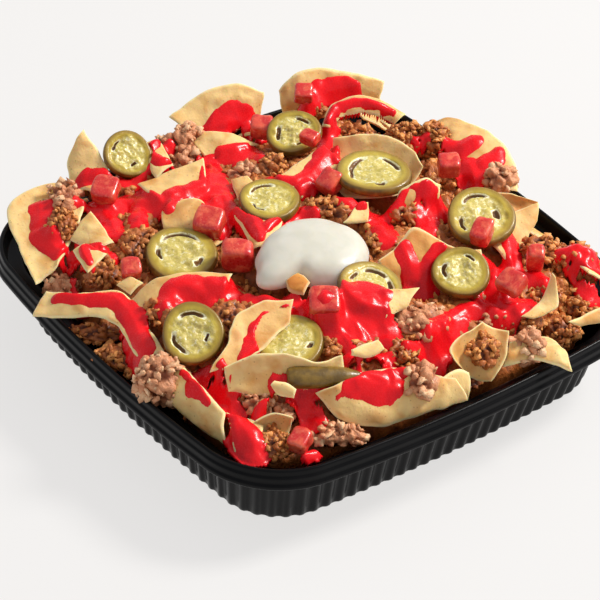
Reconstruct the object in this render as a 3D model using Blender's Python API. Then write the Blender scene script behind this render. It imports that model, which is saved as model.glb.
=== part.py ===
"""Loaded nachos on a square ribbed tray.

The tray stands on Z = 0 with its base centred on the origin, and its sides run along X and Y.
A bed of chips, mince and beans fills it as one heap. The chips, pepper slices and tomato dice
that lie on the heap, and the spoon of soured cream in the middle, are pieces of their own.

All sizes and places below are in millimetres. make_object() turns them into metres.
"""

import math

import bmesh
import bpy
import numpy as np

MILLIMETRE = 0.001

# Tray. An outline is a square with bowed sides and round corners, given by its half side.
BASE_HALF = 91.4
RIM_HALF = 108.0
BASE_CORNER = 27.5
RIM_CORNER = 37.7
BASE_BOW = 937.0
RIM_BOW = 664.0
WALL_TOP_HALF = 97.6
WALL_TOP = 28.0
RIM_TOP = 36.8
FLOOR_TOP = 1.6
RIB_COUNT = 112
RIB_DEPTH = 1.2
RIM_SIDES = 60
# The rim and the inside of the tray, from the lip's lower edge over the crest to the floor.
RIM_PROFILE = (
    (107.3, 28.6),
    (108.0, 29.3),
    (107.9, 30.4),
    (107.2, 30.9),
    (107.2, 33.4),
    (106.4, 34.0),
    (106.2, 36.3),
    (105.2, RIM_TOP),
    (104.2, 36.3),
    (102.9, 31.2),
    (97.4, 30.4),
    (95.4, WALL_TOP),
    (88.9, 2.6),
    (87.0, FLOOR_TOP),
)

# Gap that every piece keeps to its neighbours.
GAP = 0.3

# Heap under the loose pieces. Its profile gives its height from the middle to its edge.
HEAP_HALF = 89.5
HEAP_FOOT_HALF = 85.0
HEAP_FOOT = FLOOR_TOP + 0.4
HEAP_PROFILE = ((0.0, 58.0), (0.4, 56.0), (0.7, 51.0), (0.85, 45.0), (0.94, 37.0), (1.0, 25.0))
HEAP_CORNER_PULL = 0.1
HEAP_CELLS = 26
# Steps along each side of a triangle when a piece's surface is covered with points.
SURFACE_STEPS = 6

# Chips.
CHIP_THICK = 1.6
CHIP_ALONG = 7
CHIP_ACROSS = 3

# Pepper slices.
SLICE_THICK = 4.0
SLICE_SIDES = 12

# Directions on the heap: out towards the viewer's side of the tray, and along its right.
FRONT = np.array([0.788, -0.616, 0.0])
RIGHT = np.array([0.616, 0.788, 0.0])
UP = np.array([0.0, 0.0, 1.0])

# Each chip is a curved sheet between two edges, with its crown: how far the middle stands
# above the straight line from one edge to the other. Later chips lie over earlier ones.
CHIPS = {
    "chip_back_left_low": (1.0, [(-94, -1, 52), (-78, 14, 54), (-70, 23, 50)],
                           [(-76, -1, 49), (-70, 11, 49)]),
    "chip_back_left": (1.0, [(-107, 2, 51), (-107, 11, 55), (-104, 21, 60), (-99, 31, 62), (-92, 41, 58)],
                       [(-98, 6, 47), (-89, 22, 46), (-90, 38, 46)]),
    "chip_back": (2.0, [(-96, 52, 53), (-94, 59, 60), (-81, 79, 61), (-70, 90, 58)],
                  [(-92, 52, 42), (-81, 58, 44), (-75, 75, 44), (-71, 88, 45)]),
    "chip_back_right": (2.0, [(-40, 92, 50), (-37, 96, 54), (-20, 100, 59), (-3, 102, 58), (14, 96, 53),
                              (19, 92, 50)],
                        [(-32, 87, 50), (-12, 80, 51), (11, 79, 49)]),
    "chip_ridge": (1.5, [(-57, 46, 57), (-63, 55, 61), (-61, 66, 64), (-52, 76, 62), (-44, 81, 58)],
                   [(-54, 48, 57), (-56, 56, 59), (-52, 65, 60), (-43, 75, 56)]),
    "chip_upper_left": (1.0, [(-104, -44, 63), (-98, -42, 58), (-84, -42, 49)],
                        [(-103, -47, 61), (-102, -53, 50), (-95, -56, 45)]),
    "chip_left_corner": (-1.5, [(-87, -59, 50), (-94, -67, 50), (-95, -80, 50), (-92, -88, 49),
                                (-70, -97, 43), (-50, -102, 40)],
                         [(-74, -62, 50), (-62, -75, 48), (-52, -90, 43)]),
    "chip_left_strip": (1.0, [(-91, -24, 54), (-72, -29, 51)], [(-90, -15, 55), (-74, -18, 52)]),
    "chip_left_point": (1.0, [(-64, -66, 54), (-44, -68, 50)], [(-59, -80, 48), (-45, -77, 49)]),
    "chip_centre_left": (1.5, [(-69, -40, 54), (-66, -9, 57)], [(-49, -39, 51), (-50, -18, 54)]),
    "chip_left_arch": (1.0, [(-48, -42, 53), (-49, -34, 55), (-45, -28, 56), (-20, -35, 50)],
                       [(-41, -46, 50), (-32, -39, 50), (-21, -37, 49)]),
    "chip_left_curl": (0.5, [(-33, -114, 39), (-25, -106, 40), (-13, -95, 43), (-2, -91, 45), (11, -92, 44),
                             (20, -93, 42)],
                       [(-39, -104, 44), (-27, -98, 48), (-18, -83, 48), (7, -85, 46), (23, -89, 47)]),
    "chip_curled": (2.0, [(-11, -82, 48), (-10, -73, 54), (-2, -58, 57), (6, -45, 56)],
                    [(3, -84, 45), (5, -73, 49), (13, -54, 51)]),
    "chip_back_sauced": (1.0, [(-35, 4, 58), (-41, 34, 61)], [(-22, 10, 55), (-24, 28, 57), (-27, 35, 59)]),
    "chip_bowl_back": (-4.0, [(-42, 41, 62), (-29, 55, 66), (-15, 60, 66), (-5, 60, 62)],
                       [(-33, 33, 56), (-15, 27, 53), (-4, 44, 53)]),
    "chip_tent": (2.0, [(3, 41, 62), (7, 51, 66), (10, 57, 62)], [(6, 33, 54), (10, 44, 52), (13, 53, 55)]),
    "chip_strip_centre": (1.0, [(-29, -21, 56), (-3, -28, 56)],
                          [(-27, -9, 56), (-10, -9, 58), (-1, -25, 56)]),
    "chip_wavy": (1.5, [(33, 7, 58), (32, 16, 60), (32, 26, 66), (38, 31, 63), (46, 35, 61), (50, 46, 58)],
                  [(38, 6, 51), (45, 16, 48), (50, 24, 47), (50, 34, 50), (52, 44, 53)]),
    "chip_fold_back": (-1.0, [(18, 71, 56), (23, 78, 58), (33, 91, 54)],
                       [(31, 75, 50), (31, 83, 50), (34, 91, 53)]),
    "chip_fold_front": (1.0, [(42, 57, 52), (33, 73, 53), (35, 89, 55)],
                        [(55, 59, 46), (47, 70, 46), (40, 85, 50)]),
    "chip_under_centre": (1.0, [(51, -5, 59), (57, 9, 58)], [(61, -11, 54), (61, -1, 55)]),
    "chip_bright_fold": (-1.0, [(44, -83, 48), (40, -72, 54), (31, -60, 59), (31, -54, 60), (37, -38, 60)],
                         [(49, -74, 50), (48, -61, 52), (44, -45, 56)]),
    "chip_bowl_front": (-1.0, [(49, -80, 52), (54, -69, 57), (65, -55, 57), (69, -50, 55), (73, -41, 57)],
                        [(54, -81, 44), (60, -73, 43), (70, -58, 44), (78, -43, 49)]),
    "chip_front_left": (2.0, [(27, -97, 37), (48, -95, 33), (69, -91, 31)], [(35, -88, 47), (62, -88, 43)]),
    "chip_front_drip": (1.5, [(75, -92, 31), (82, -87, 31)], [(61, -87, 42), (72, -77, 38)]),
    "chip_front_curl": (-3.0, [(73, -81, 32), (78, -69, 30)],
                        [(71, -80, 41), (74, -74, 44), (79, -68, 42)]),
    "chip_front": (2.0, [(75, -55, 46), (84, -51, 38), (93, -41, 35), (99, -18, 36), (103, -2, 37)],
                   [(79, -46, 50), (82, -27, 50), (98, -5, 46)]),
    "chip_flap": (1.0, [(94, -6, 39), (98, -4, 35), (100, 1, 34)],
                  [(94, -9, 45), (94, -1, 46), (96, 4, 44)]),
    "chip_boat": (-5.0, [(85, 18, 56), (88, 0, 50), (95, 4, 42)],
                  [(92, 26, 52), (99, 19, 44), (100, 12, 38)]),
    "chip_right_tip": (1.0, [(97, 20, 40), (102, 30, 42), (113, 43, 38)],
                       [(93, 26, 47), (99, 42, 46), (105, 45, 43)]),
    "chip_sliver": (0.5, [(83, 40, 47), (82, 51, 50), (80, 58, 60)],
                    [(86, 44, 46), (87, 56, 48), (82, 58, 59)]),
    "chip_right_edge": (1.0, [(97, 60, 43), (99, 69, 42), (104, 82, 42)],
                        [(96, 54, 47), (97, 70, 48), (98, 83, 47)]),
}

# Tomato dice: middle, size along each of its own axes, and turn about Z in degrees.
TOMATOES = (
    ((-47, 32, 63), (8, 6, 5), 20),
    ((-83, 56, 57), (8, 8, 6), 50),
    ((43, 52, 60), (8, 11, 8), 30),
    ((-23, -74, 53), (8, 8, 6), 65),
    ((-3, -36, 56), (13, 9, 12), 52),
    ((-73, -53, 54), (11, 12, 7), 40),
    ((-27, -33, 57), (12, 12, 9), 35),
    ((-19, 22, 60), (9, 10, 8), 15),
    ((-2, 71, 60), (9, 9, 8), 60),
    ((87, -71, 38), (8, 9, 7), 25),
    ((45, -29, 60), (12, 12, 7), 55),
    ((73, 43, 57), (10, 10, 7), 10),
    ((-74, 27, 55), (9, 9, 8), 45),
    ((63, 64, 54), (7, 7, 12), 52),
)

# Pepper slices: middle, diameter, tilt towards the front and turn of that tilt, in degrees.
SLICES = (
    ((-88, -32, 55), 21, 35, 20),
    ((-59, 33, 58), 23, 22, -15),
    ((-12, 39, 62), 31, 0, 0),
    ((-23, -6, 59), 26, 4, 0),
    ((-21, -51, 51), 30, 10, 0),
    ((33, 60, 58), 29, 17, 0),
    ((56, 31, 56), 23, 26, 0),
    ((46, -7, 58), 27, 16, 60),
    ((26, -78, 53), 25, 35, 0),
    ((50, -49, 51), 27, 14, 0),
)
PEPPER_END_FROM = np.array([66.0, -61.0, 50.0])
PEPPER_END_TO = np.array([80.0, -37.0, 50.0])
PEPPER_END_THICK = 9.5

# Soured cream: middle of its foot, half sizes along RIGHT and FRONT, height, and its lobes:
# direction in degrees from RIGHT towards FRONT, share of the radius, and width in degrees.
CREAM_FOOT = np.array([15.0, -12.0, 54.0])
CREAM_HALF = (22.0, 20.0)
CREAM_HEIGHT = 13.8
CREAM_SIDES = 36
CREAM_LOBES = (
    (129, 0.47, 15),
    (158, 0.1, 16),
    (106, -0.26, 11),
    (48, 0.08, 24),
    (212, -0.13, 26),
    (270, -0.08, 30),
    (335, 0.04, 25),
)

# Finish of each kind of piece: colour, roughness, metallic.
FINISHES = {
    "tray_plastic": ((0.012, 0.012, 0.014), 0.28, 0.0),
    "mince_and_beans": ((0.36, 0.17, 0.07), 0.7, 0.0),
    "corn_chip": ((0.76, 0.56, 0.27), 0.65, 0.0),
    "pickled_pepper": ((0.50, 0.44, 0.08), 0.3, 0.0),
    "tomato": ((0.62, 0.05, 0.03), 0.25, 0.0),
    "soured_cream": ((0.86, 0.84, 0.80), 0.35, 0.0),
}


def material(finish):
    """The Principled material of one finish, made on first use."""
    found = bpy.data.materials.get(finish)
    if found:
        return found
    colour, roughness, metallic = FINISHES[finish]
    made = bpy.data.materials.new(finish)
    made.use_nodes = True
    shader = made.node_tree.nodes["Principled BSDF"]
    shader.inputs["Base Color"].default_value = (*colour, 1.0)
    shader.inputs["Roughness"].default_value = roughness
    shader.inputs["Metallic"].default_value = metallic
    made.diffuse_color = (*colour, 1.0)
    return made


def make_object(name, points, faces, finish):
    """A mesh object from points in millimetres, with its faces turned outwards."""
    mesh = bpy.data.meshes.new(name)
    mesh.from_pydata([tuple(point) for point in np.asarray(points) * MILLIMETRE], [], faces)
    shape = bmesh.new()
    shape.from_mesh(mesh)
    bmesh.ops.recalc_face_normals(shape, faces=shape.faces)
    shape.to_mesh(mesh)
    shape.free()
    mesh.materials.append(material(finish))
    made = bpy.data.objects.new(name, mesh)
    bpy.context.scene.collection.objects.link(made)
    return made


def unit(vector):
    return vector / np.linalg.norm(vector)


# Tray


def tray_outline(half, count):
    """Points spaced evenly round a square with bowed sides and round corners."""
    share = (half - BASE_HALF) / (RIM_HALF - BASE_HALF)
    corner = BASE_CORNER + share * (RIM_CORNER - BASE_CORNER)
    bow = BASE_BOW + share * (RIM_BOW - BASE_BOW)
    # A side is an arc of radius bow, and a corner one of radius corner. They meet, with no
    # kink, where cos(a) - sin(a) = (bow - half) / (bow - corner).
    meet = math.acos((bow - half) / (bow - corner) / math.sqrt(2)) - math.pi / 4
    middle = (bow - corner) * math.sin(meet)
    side = np.linspace(-meet, meet, 40, endpoint=False)
    turn = np.linspace(meet, math.pi / 2 - meet, 60, endpoint=False)
    quarter = np.concatenate([
        np.stack([half - bow + bow * np.cos(side), bow * np.sin(side)], axis=1),
        np.stack([middle + corner * np.cos(turn), middle + corner * np.sin(turn)], axis=1),
    ])
    ring = []
    for step in range(4):
        cos, sin = round(math.cos(step * math.pi / 2)), round(math.sin(step * math.pi / 2))
        ring.append(quarter @ np.array([[cos, sin], [-sin, cos]]))
    ring = np.concatenate(ring + [quarter[:1]])
    length = np.concatenate([[0.0], np.cumsum(np.linalg.norm(np.diff(ring, axis=0), axis=1))])
    wanted = np.arange(count) / count * length[-1]
    return np.stack([np.interp(wanted, length, ring[:, axis]) for axis in (0, 1)], axis=1)


def at_height(outline, height):
    return np.column_stack([outline, np.full(len(outline), height)])


def ribbed_ring(half, height):
    """A ring whose every second point is pushed in, which makes the ribs."""
    outer = tray_outline(half, 2 * RIB_COUNT)
    inner = tray_outline(half - RIB_DEPTH, 2 * RIB_COUNT)
    odd = (np.arange(2 * RIB_COUNT) % 2 == 1)[:, None]
    return at_height(np.where(odd, inner, outer), height)


def band(first, first_count, second, second_count):
    """Triangles between two closed rings, given by their first index and their count."""
    faces = []
    a = b = 0
    while a < first_count or b < second_count:
        here_a, here_b = first + a % first_count, second + b % second_count
        if b == second_count or (a < first_count and (a + 1) * second_count <= (b + 1) * first_count):
            faces.append((here_a, first + (a + 1) % first_count, here_b))
            a += 1
        else:
            faces.append((here_a, second + (b + 1) % second_count, here_b))
            b += 1
    return faces


def build_tray():
    rings = [ribbed_ring(BASE_HALF, 0.0), ribbed_ring(WALL_TOP_HALF, WALL_TOP)]
    rings += [at_height(tray_outline(half, RIM_SIDES), height) for half, height in RIM_PROFILE]
    starts = np.cumsum([0] + [len(ring) for ring in rings])
    faces = [tuple(range(2 * RIB_COUNT)), tuple(range(starts[-2], starts[-1]))]
    for index in range(len(rings) - 1):
        faces += band(int(starts[index]), len(rings[index]), int(starts[index + 1]), len(rings[index + 1]))
    return make_object("tray", np.concatenate(rings), faces, "tray_plastic")


# Chips


def along_edge(edge, count):
    """Points spaced evenly along a polyline."""
    edge = np.array(edge, float)
    length = np.concatenate([[0.0], np.cumsum(np.linalg.norm(np.diff(edge, axis=0), axis=1))])
    wanted = np.linspace(0.0, length[-1], count)
    return np.stack([np.interp(wanted, length, edge[:, axis]) for axis in range(3)], axis=1)


def chip_normal(near, far):
    """The direction square to a chip, on its upper side."""
    normal = unit(np.cross(near[-1] + far[-1] - near[0] - far[0], near.mean(axis=0) - far.mean(axis=0)))
    return normal if normal @ (UP + 0.5 * FRONT) > 0 else -normal


def chip_sheet(crown, near, far, along, across):
    """The middle surface of a chip: straight lines from one edge to the other, raised by a
    parabola that is the crown in the middle and nothing at the edges. Also its normal."""
    near, far = along_edge(near, along), along_edge(far, along)
    normal = chip_normal(near, far)
    share = np.linspace(0.0, 1.0, across)[:, None, None]
    sheet = (1.0 - share) * near + share * far + 4.0 * share * (1.0 - share) * crown * normal
    return sheet, normal


def solid_sheet(name, sheet, normal, thick, grow, finish):
    """A closed sheet of even thickness. Growing moves its faces and its rim outwards."""
    middle = sheet.reshape(-1, 3).mean(axis=0)
    if grow:
        away = sheet - middle
        flat = away - (away @ normal)[..., None] * normal
        sheet = sheet + grow * flat / np.maximum(np.linalg.norm(flat, axis=-1, keepdims=True), 1.0)
    half = (0.5 * thick + grow) * normal
    rows, columns = sheet.shape[:2]
    count = rows * columns
    points = np.concatenate([(sheet + half).reshape(-1, 3), (sheet - half).reshape(-1, 3)])
    index = np.arange(count).reshape(rows, columns)
    faces = []
    for row in range(rows - 1):
        for column in range(columns - 1):
            a, b = int(index[row, column]), int(index[row, column + 1])
            c, d = int(index[row + 1, column + 1]), int(index[row + 1, column])
            faces += [(a, b, c), (a, c, d)]
            faces += [(count + a, count + c, count + b), (count + a, count + d, count + c)]
    rim = np.concatenate([index[0], index[1:, -1], index[-1, -2::-1], index[-2:0:-1, 0]])
    for a, b in zip(rim.tolist(), np.roll(rim, -1).tolist()):
        faces += [(a, count + a, b), (b, count + a, count + b)]
    return make_object(name, points, faces, finish)


def build_chip(name, grow=0.0):
    crown, near, far = CHIPS[name]
    sheet, normal = chip_sheet(crown, near, far, CHIP_ALONG, CHIP_ACROSS)
    return solid_sheet(name, sheet, normal, CHIP_THICK, grow, "corn_chip")


# Toppings


def turned_solid(name, rings, finish):
    """A closed solid from rings of points, the first and the last closed by a flat face."""
    sides = len(rings[0])
    points = np.concatenate(rings)
    faces = [tuple(range(sides)), tuple(range(len(points) - sides, len(points)))]
    for start in range(0, len(points) - sides, sides):
        faces += band(start, sides, start + sides, sides)
    return make_object(name, points, faces, finish)


def build_slice(index, grow=0.0):
    """A pepper slice: a disc with a raised ring of wall round a lower middle of seeds."""
    middle, diameter, tilt, turn = SLICES[index]
    tilt, turn = math.radians(tilt), math.radians(turn)
    lean = math.cos(turn) * FRONT + math.sin(turn) * RIGHT
    normal = math.sin(tilt) * lean + math.cos(tilt) * UP
    across = unit(np.cross(normal, RIGHT))
    other = np.cross(normal, across)
    angle = np.linspace(0.0, 2.0 * math.pi, SLICE_SIDES, endpoint=False)
    around = np.outer(np.cos(angle), across) + np.outer(np.sin(angle), other)
    radius, half = 0.5 * diameter, 0.5 * SLICE_THICK
    profile = ((0.85, -1.0), (1.0, -0.4), (1.0, 0.4), (0.86, 1.0), (0.65, 0.5))
    rings = [
        np.array(middle) + (share * radius + grow) * around + height * (half + grow) * normal
        for share, height in profile
    ]
    return turned_solid(f"pepper_slice_{index + 1:02d}", rings, "pickled_pepper")


def build_pepper_end(grow=0.0):
    """The rounded end of a pepper lying on its side, cut off square at its thick end."""
    axis = unit(PEPPER_END_TO - PEPPER_END_FROM)
    length = np.linalg.norm(PEPPER_END_TO - PEPPER_END_FROM)
    side = unit(np.cross(axis, UP))
    angle = np.linspace(0.0, 2.0 * math.pi, 10, endpoint=False)
    around = np.outer(np.cos(angle), side) + 0.8 * np.outer(np.sin(angle), UP)
    radius = 0.5 * PEPPER_END_THICK
    profile = ((-0.02, 0.8), (0.06, 1.0), (0.45, 1.0), (0.75, 0.82), (0.93, 0.45), (1.0, 0.12))
    rings = []
    for share, width in profile:
        middle = PEPPER_END_FROM + (share * length + grow * (2 * share - 1)) * axis
        rings.append(middle + (width * radius + grow) * around)
    return turned_solid("pepper_end", rings, "pickled_pepper")


def build_tomato(index, grow=0.0):
    """A die of tomato with its edges and corners cut off."""
    middle, size, turn = TOMATOES[index]
    shape = bmesh.new()
    bmesh.ops.create_cube(shape, size=1.0)
    bmesh.ops.scale(shape, vec=[axis + 2 * grow for axis in size], verts=shape.verts)
    bmesh.ops.bevel(shape, geom=shape.edges[:], offset=1.2, segments=1, affect="EDGES")
    points = np.array([vertex.co for vertex in shape.verts])
    faces = [[vertex.index for vertex in face.verts] for face in shape.faces]
    shape.free()
    cos, sin = math.cos(math.radians(turn)), math.sin(math.radians(turn))
    spin = np.array([[cos, -sin, 0.0], [sin, cos, 0.0], [0.0, 0.0, 1.0]])
    lean = math.radians(12.0 + 5.0 * (index % 4))
    cos, sin = math.cos(lean), math.sin(lean)
    tip = np.array([[1.0, 0.0, 0.0], [0.0, cos, -sin], [0.0, sin, cos]])
    return make_object(f"tomato_{index + 1:02d}", points @ (spin @ tip).T + middle, faces, "tomato")


def build_cream(grow=0.0):
    """A spoon of soured cream: a dome on an oval foot, with lobes pushed out of its side."""
    angle = np.linspace(0.0, 2.0 * math.pi, CREAM_SIDES, endpoint=False)
    reach = np.ones(CREAM_SIDES)
    for lobe, share, width in CREAM_LOBES:
        off = (np.degrees(angle) - lobe + 180.0) % 360.0 - 180.0
        reach += share * np.exp(-((off / width) ** 2))
    around = (CREAM_HALF[0] + grow) * np.outer(np.cos(angle), RIGHT)
    around += (CREAM_HALF[1] + grow) * np.outer(np.sin(angle), FRONT)
    profile = ((0.84, 0.0), (0.98, 0.12), (1.0, 0.3), (0.93, 0.55), (0.74, 0.8), (0.42, 0.95), (0.16, 1.0))
    rings = [
        CREAM_FOOT + share * reach[:, None] * around + (height * (CREAM_HEIGHT + 2 * grow) - grow) * UP
        for share, height in profile
    ]
    return turned_solid("soured_cream", rings, "soured_cream")


# Heap


def square_grid(half, cells):
    """A grid over the square, pulled in at its corners so that they are round. Also how far
    out each of its points lies: 0 in the middle and 1 on the edge."""
    share = np.linspace(-1.0, 1.0, cells + 1)
    across, along = np.meshgrid(share, share)
    pull = 1.0 - HEAP_CORNER_PULL * across**4 * along**4
    return half * across * pull, half * along * pull, np.maximum(abs(across), abs(along))


def heap_height(x, y, out):
    """A low dome with gentle lumps, which drops steeply beside the wall of the tray."""
    outs, heights = np.array(HEAP_PROFILE).T
    lumps = 1.2 * np.sin(x / 9.0 + 1.0) * np.sin(y / 7.0) + 0.8 * np.sin(x / 5.0) * np.sin(y / 6.0 + 2.0)
    return np.interp(out, outs, heights) + lumps * (1.0 - out**4)


def lowest_over(x, y, pieces, reach):
    """The lowest point of any piece within reach of each grid point, in plan."""
    points = np.concatenate([surface_points(piece) for piece in pieces])
    lowest = np.full(x.shape, np.inf)
    for row in range(x.shape[0]):
        for column in range(x.shape[1]):
            near = abs(points[:, 0] - x[row, column]) < reach
            near &= abs(points[:, 1] - y[row, column]) < reach
            if near.any():
                lowest[row, column] = points[near, 2].min()
    return lowest


def surface_points(piece):
    """Points spread over a piece's faces, in millimetres."""
    mesh = piece.data
    mesh.calc_loop_triangles()
    corners = np.array([vertex.co for vertex in mesh.vertices]) / MILLIMETRE
    triangles = corners[np.array([triangle.vertices[:] for triangle in mesh.loop_triangles])]
    weights = []
    for i in range(SURFACE_STEPS + 1):
        for j in range(SURFACE_STEPS + 1 - i):
            weights.append((i, j, SURFACE_STEPS - i - j))
    return np.einsum("wc,tcx->twx", np.array(weights) / SURFACE_STEPS, triangles).reshape(-1, 3)


def build_heap(pieces):
    """The heap out to its uneven top, kept below every piece that lies on it."""
    x, y, out = square_grid(HEAP_HALF, HEAP_CELLS)
    cell = 2.0 * HEAP_HALF / HEAP_CELLS
    top = np.minimum(heap_height(x, y, out), lowest_over(x, y, pieces, cell) - GAP)
    sheet = np.stack([x, y, top], axis=-1)
    rows, columns = x.shape
    count = rows * columns
    index = np.arange(count).reshape(rows, columns)
    rim = np.concatenate([index[0], index[1:, -1], index[-1, -2::-1], index[-2:0:-1, 0]]).tolist()
    floor = sheet.reshape(-1, 3)[rim] * (HEAP_FOOT_HALF / HEAP_HALF)
    floor[:, 2] = HEAP_FOOT
    faces = [tuple(range(count, count + len(rim)))]
    for row in range(rows - 1):
        for column in range(columns - 1):
            a, b = int(index[row, column]), int(index[row, column + 1])
            c, d = int(index[row + 1, column + 1]), int(index[row + 1, column])
            faces += [(a, b, c), (a, c, d)]
    for step, a in enumerate(rim):
        b = rim[(step + 1) % len(rim)]
        low_a, low_b = count + step, count + (step + 1) % len(rim)
        faces += [(a, low_a, b), (b, low_a, low_b)]
    return make_object("heap", np.concatenate([sheet.reshape(-1, 3), floor]), faces, "mince_and_beans")


# Fitting the pieces together


def box_of(piece):
    corners = np.array([vertex.co for vertex in piece.data.vertices]) / MILLIMETRE
    return corners.min(axis=0), corners.max(axis=0)


def boxes_meet(first, second):
    return bool((first[0] < second[1] + GAP).all() and (second[0] < first[1] + GAP).all())


def keep_largest_body(mesh):
    """Deletes what a cut has left apart from the main body."""
    shape = bmesh.new()
    shape.from_mesh(mesh)
    bmesh.ops.triangulate(shape, faces=shape.faces)
    bodies, seen = [], set()
    for start in shape.verts:
        if start in seen:
            continue
        body, waiting = [], [start]
        seen.add(start)
        while waiting:
            vertex = waiting.pop()
            body.append(vertex)
            for edge in vertex.link_edges:
                other = edge.other_vert(vertex)
                if other not in seen:
                    seen.add(other)
                    waiting.append(other)
        bodies.append(body)
    bodies.sort(key=len)
    for body in bodies[:-1]:
        bmesh.ops.delete(shape, geom=body, context="VERTS")
    shape.to_mesh(mesh)
    shape.free()


def cut_by(piece, cutters):
    """Takes the grown copies of its neighbours away from a piece."""
    for cutter in cutters:
        cut = piece.modifiers.new(cutter.name, "BOOLEAN")
        cut.operation = "DIFFERENCE"
        cut.solver = "EXACT"
        cut.object = cutter
    bpy.context.view_layer.update()
    graph = bpy.context.evaluated_depsgraph_get()
    mesh = bpy.data.meshes.new_from_object(piece.evaluated_get(graph))
    piece.modifiers.clear()
    keep_largest_body(mesh)
    piece.data = mesh


def main():
    for old in list(bpy.data.objects):
        bpy.data.objects.remove(old)
    build_tray()
    # From the lowest piece to the topmost one: each is cut by the pieces after it.
    makers = [(build_chip, name) for name in CHIPS]
    makers += [(build_tomato, index) for index in range(len(TOMATOES))]
    makers += [(build_slice, index) for index in range(len(SLICES))]
    pieces = [make(which) for make, which in makers] + [build_pepper_end(), build_cream()]
    grown = [make(which, GAP) for make, which in makers] + [build_pepper_end(GAP), build_cream(GAP)]
    boxes = [box_of(piece) for piece in pieces]
    for index, piece in enumerate(pieces):
        later = range(index + 1, len(pieces))
        over = [grown[other] for other in later if boxes_meet(boxes[index], boxes[other])]
        if over:
            cut_by(piece, over)
    for copy in grown:
        bpy.data.objects.remove(copy)
    build_heap(pieces)


main()
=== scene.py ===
# %% [markdown]
# # Loaded nachos on a square tray
#
# The real dish is a black plastic tray, heaped with corn chips. On and between the chips lie
# brown mince, pink mashed beans, tomato dice, slices of pickled pepper, a glossy red sauce and
# a spoon of soured cream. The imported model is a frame: it says where the tray, the chips, the
# slices and the dice are. This script keeps every piece in its place and gives it its real
# surface. Nearly all of it is worked out with numpy: a surface is a formula of two numbers.

import itertools
import math

import bmesh
import bpy
import numpy as np
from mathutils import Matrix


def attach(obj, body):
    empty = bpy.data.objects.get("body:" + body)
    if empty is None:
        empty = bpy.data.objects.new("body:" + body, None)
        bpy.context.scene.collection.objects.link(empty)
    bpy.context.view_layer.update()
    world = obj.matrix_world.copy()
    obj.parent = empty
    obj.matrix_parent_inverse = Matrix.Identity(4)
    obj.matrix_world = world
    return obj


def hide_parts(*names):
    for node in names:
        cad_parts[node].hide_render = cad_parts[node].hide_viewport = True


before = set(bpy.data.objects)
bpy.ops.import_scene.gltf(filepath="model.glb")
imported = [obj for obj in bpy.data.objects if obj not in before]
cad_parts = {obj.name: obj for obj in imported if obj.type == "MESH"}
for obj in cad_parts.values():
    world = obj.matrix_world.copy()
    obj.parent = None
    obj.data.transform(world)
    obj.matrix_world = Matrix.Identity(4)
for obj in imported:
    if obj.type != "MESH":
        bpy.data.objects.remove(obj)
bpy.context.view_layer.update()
MILLIMETRE = 0.001
UP = np.array([0.0, 0.0, 1.0])
# Directions on the table as the main view sees them: towards the viewer, and to the right.
FRONT = np.array([0.788, -0.616, 0.0])
RIGHT = np.array([0.616, 0.788, 0.0])

# %% [markdown]
# ## Turning numbers into meshes
#
# Every piece here is computed in millimetres as an array of points and an array of faces. A
# mesh can be built face by face with bmesh, but that takes a Python loop, which is slow for a
# heap of food. `foreach_set` hands a whole numpy array to Blender at once. The place of a
# piece is in its points, so its object stays at the origin.

# %% Mesh from arrays


def outward(points, faces):
    """The faces, all turned round if the closed body they make has a negative volume. The
    volume is the sum, over all faces, of the pyramid from the origin to that face."""
    a, b, c = (points[faces[:, corner]] for corner in (0, 1, 2))
    volume = np.einsum("fi,fi->", a, np.cross(b, c))
    if faces.shape[1] == 4:
        volume += np.einsum("fi,fi->", a, np.cross(c, points[faces[:, 3]]))
    return faces if volume > 0 else faces[:, ::-1]


def make_piece(name, points, faces, material, values=None, smooth=True, caps=()):
    """A mesh object from points in mm and faces of equal length, plus a few longer faces.
    Values are named numbers, one for each point, which the material can read."""
    points = np.asarray(points, float).reshape(-1, 3)
    faces = np.asarray(faces)
    sides = faces.shape[1]
    lengths = np.concatenate([np.full(len(faces), sides), [len(cap) for cap in caps]]).astype(int)
    corners = np.concatenate([faces.ravel(), *[np.asarray(cap) for cap in caps]]).astype(int)
    mesh = bpy.data.meshes.new(name)
    mesh.vertices.add(len(points))
    mesh.vertices.foreach_set("co", (points * MILLIMETRE).ravel())
    mesh.loops.add(len(corners))
    mesh.loops.foreach_set("vertex_index", corners)
    mesh.polygons.add(len(lengths))
    mesh.polygons.foreach_set("loop_start", np.concatenate([[0], np.cumsum(lengths)[:-1]]))
    mesh.polygons.foreach_set("use_smooth", np.full(len(lengths), smooth))
    mesh.update(calc_edges=True)
    for label, numbers in (values or {}).items():
        stored = mesh.attributes.new(label, "FLOAT", "POINT")
        stored.data.foreach_set("value", np.ravel(numbers).astype(np.float32))
    mesh.materials.append(material)
    made = bpy.data.objects.new(name, mesh)
    bpy.context.scene.collection.objects.link(made)
    return made


def grid_faces(rows, columns):
    """Four-sided faces over a grid of points, row after row."""
    index = np.arange(rows * columns).reshape(rows, columns)
    return np.stack([index[:-1, :-1], index[:-1, 1:], index[1:, 1:], index[1:, :-1]], axis=-1).reshape(-1, 4)


def tube_faces(rings, sides):
    """Four-sided faces over rings of points, each ring closed on itself."""
    index = np.arange(rings * sides).reshape(rings, sides)
    turned = np.roll(index, -1, axis=1)
    return np.stack([index[:-1], turned[:-1], turned[1:], index[1:]], axis=-1).reshape(-1, 4)


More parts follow.
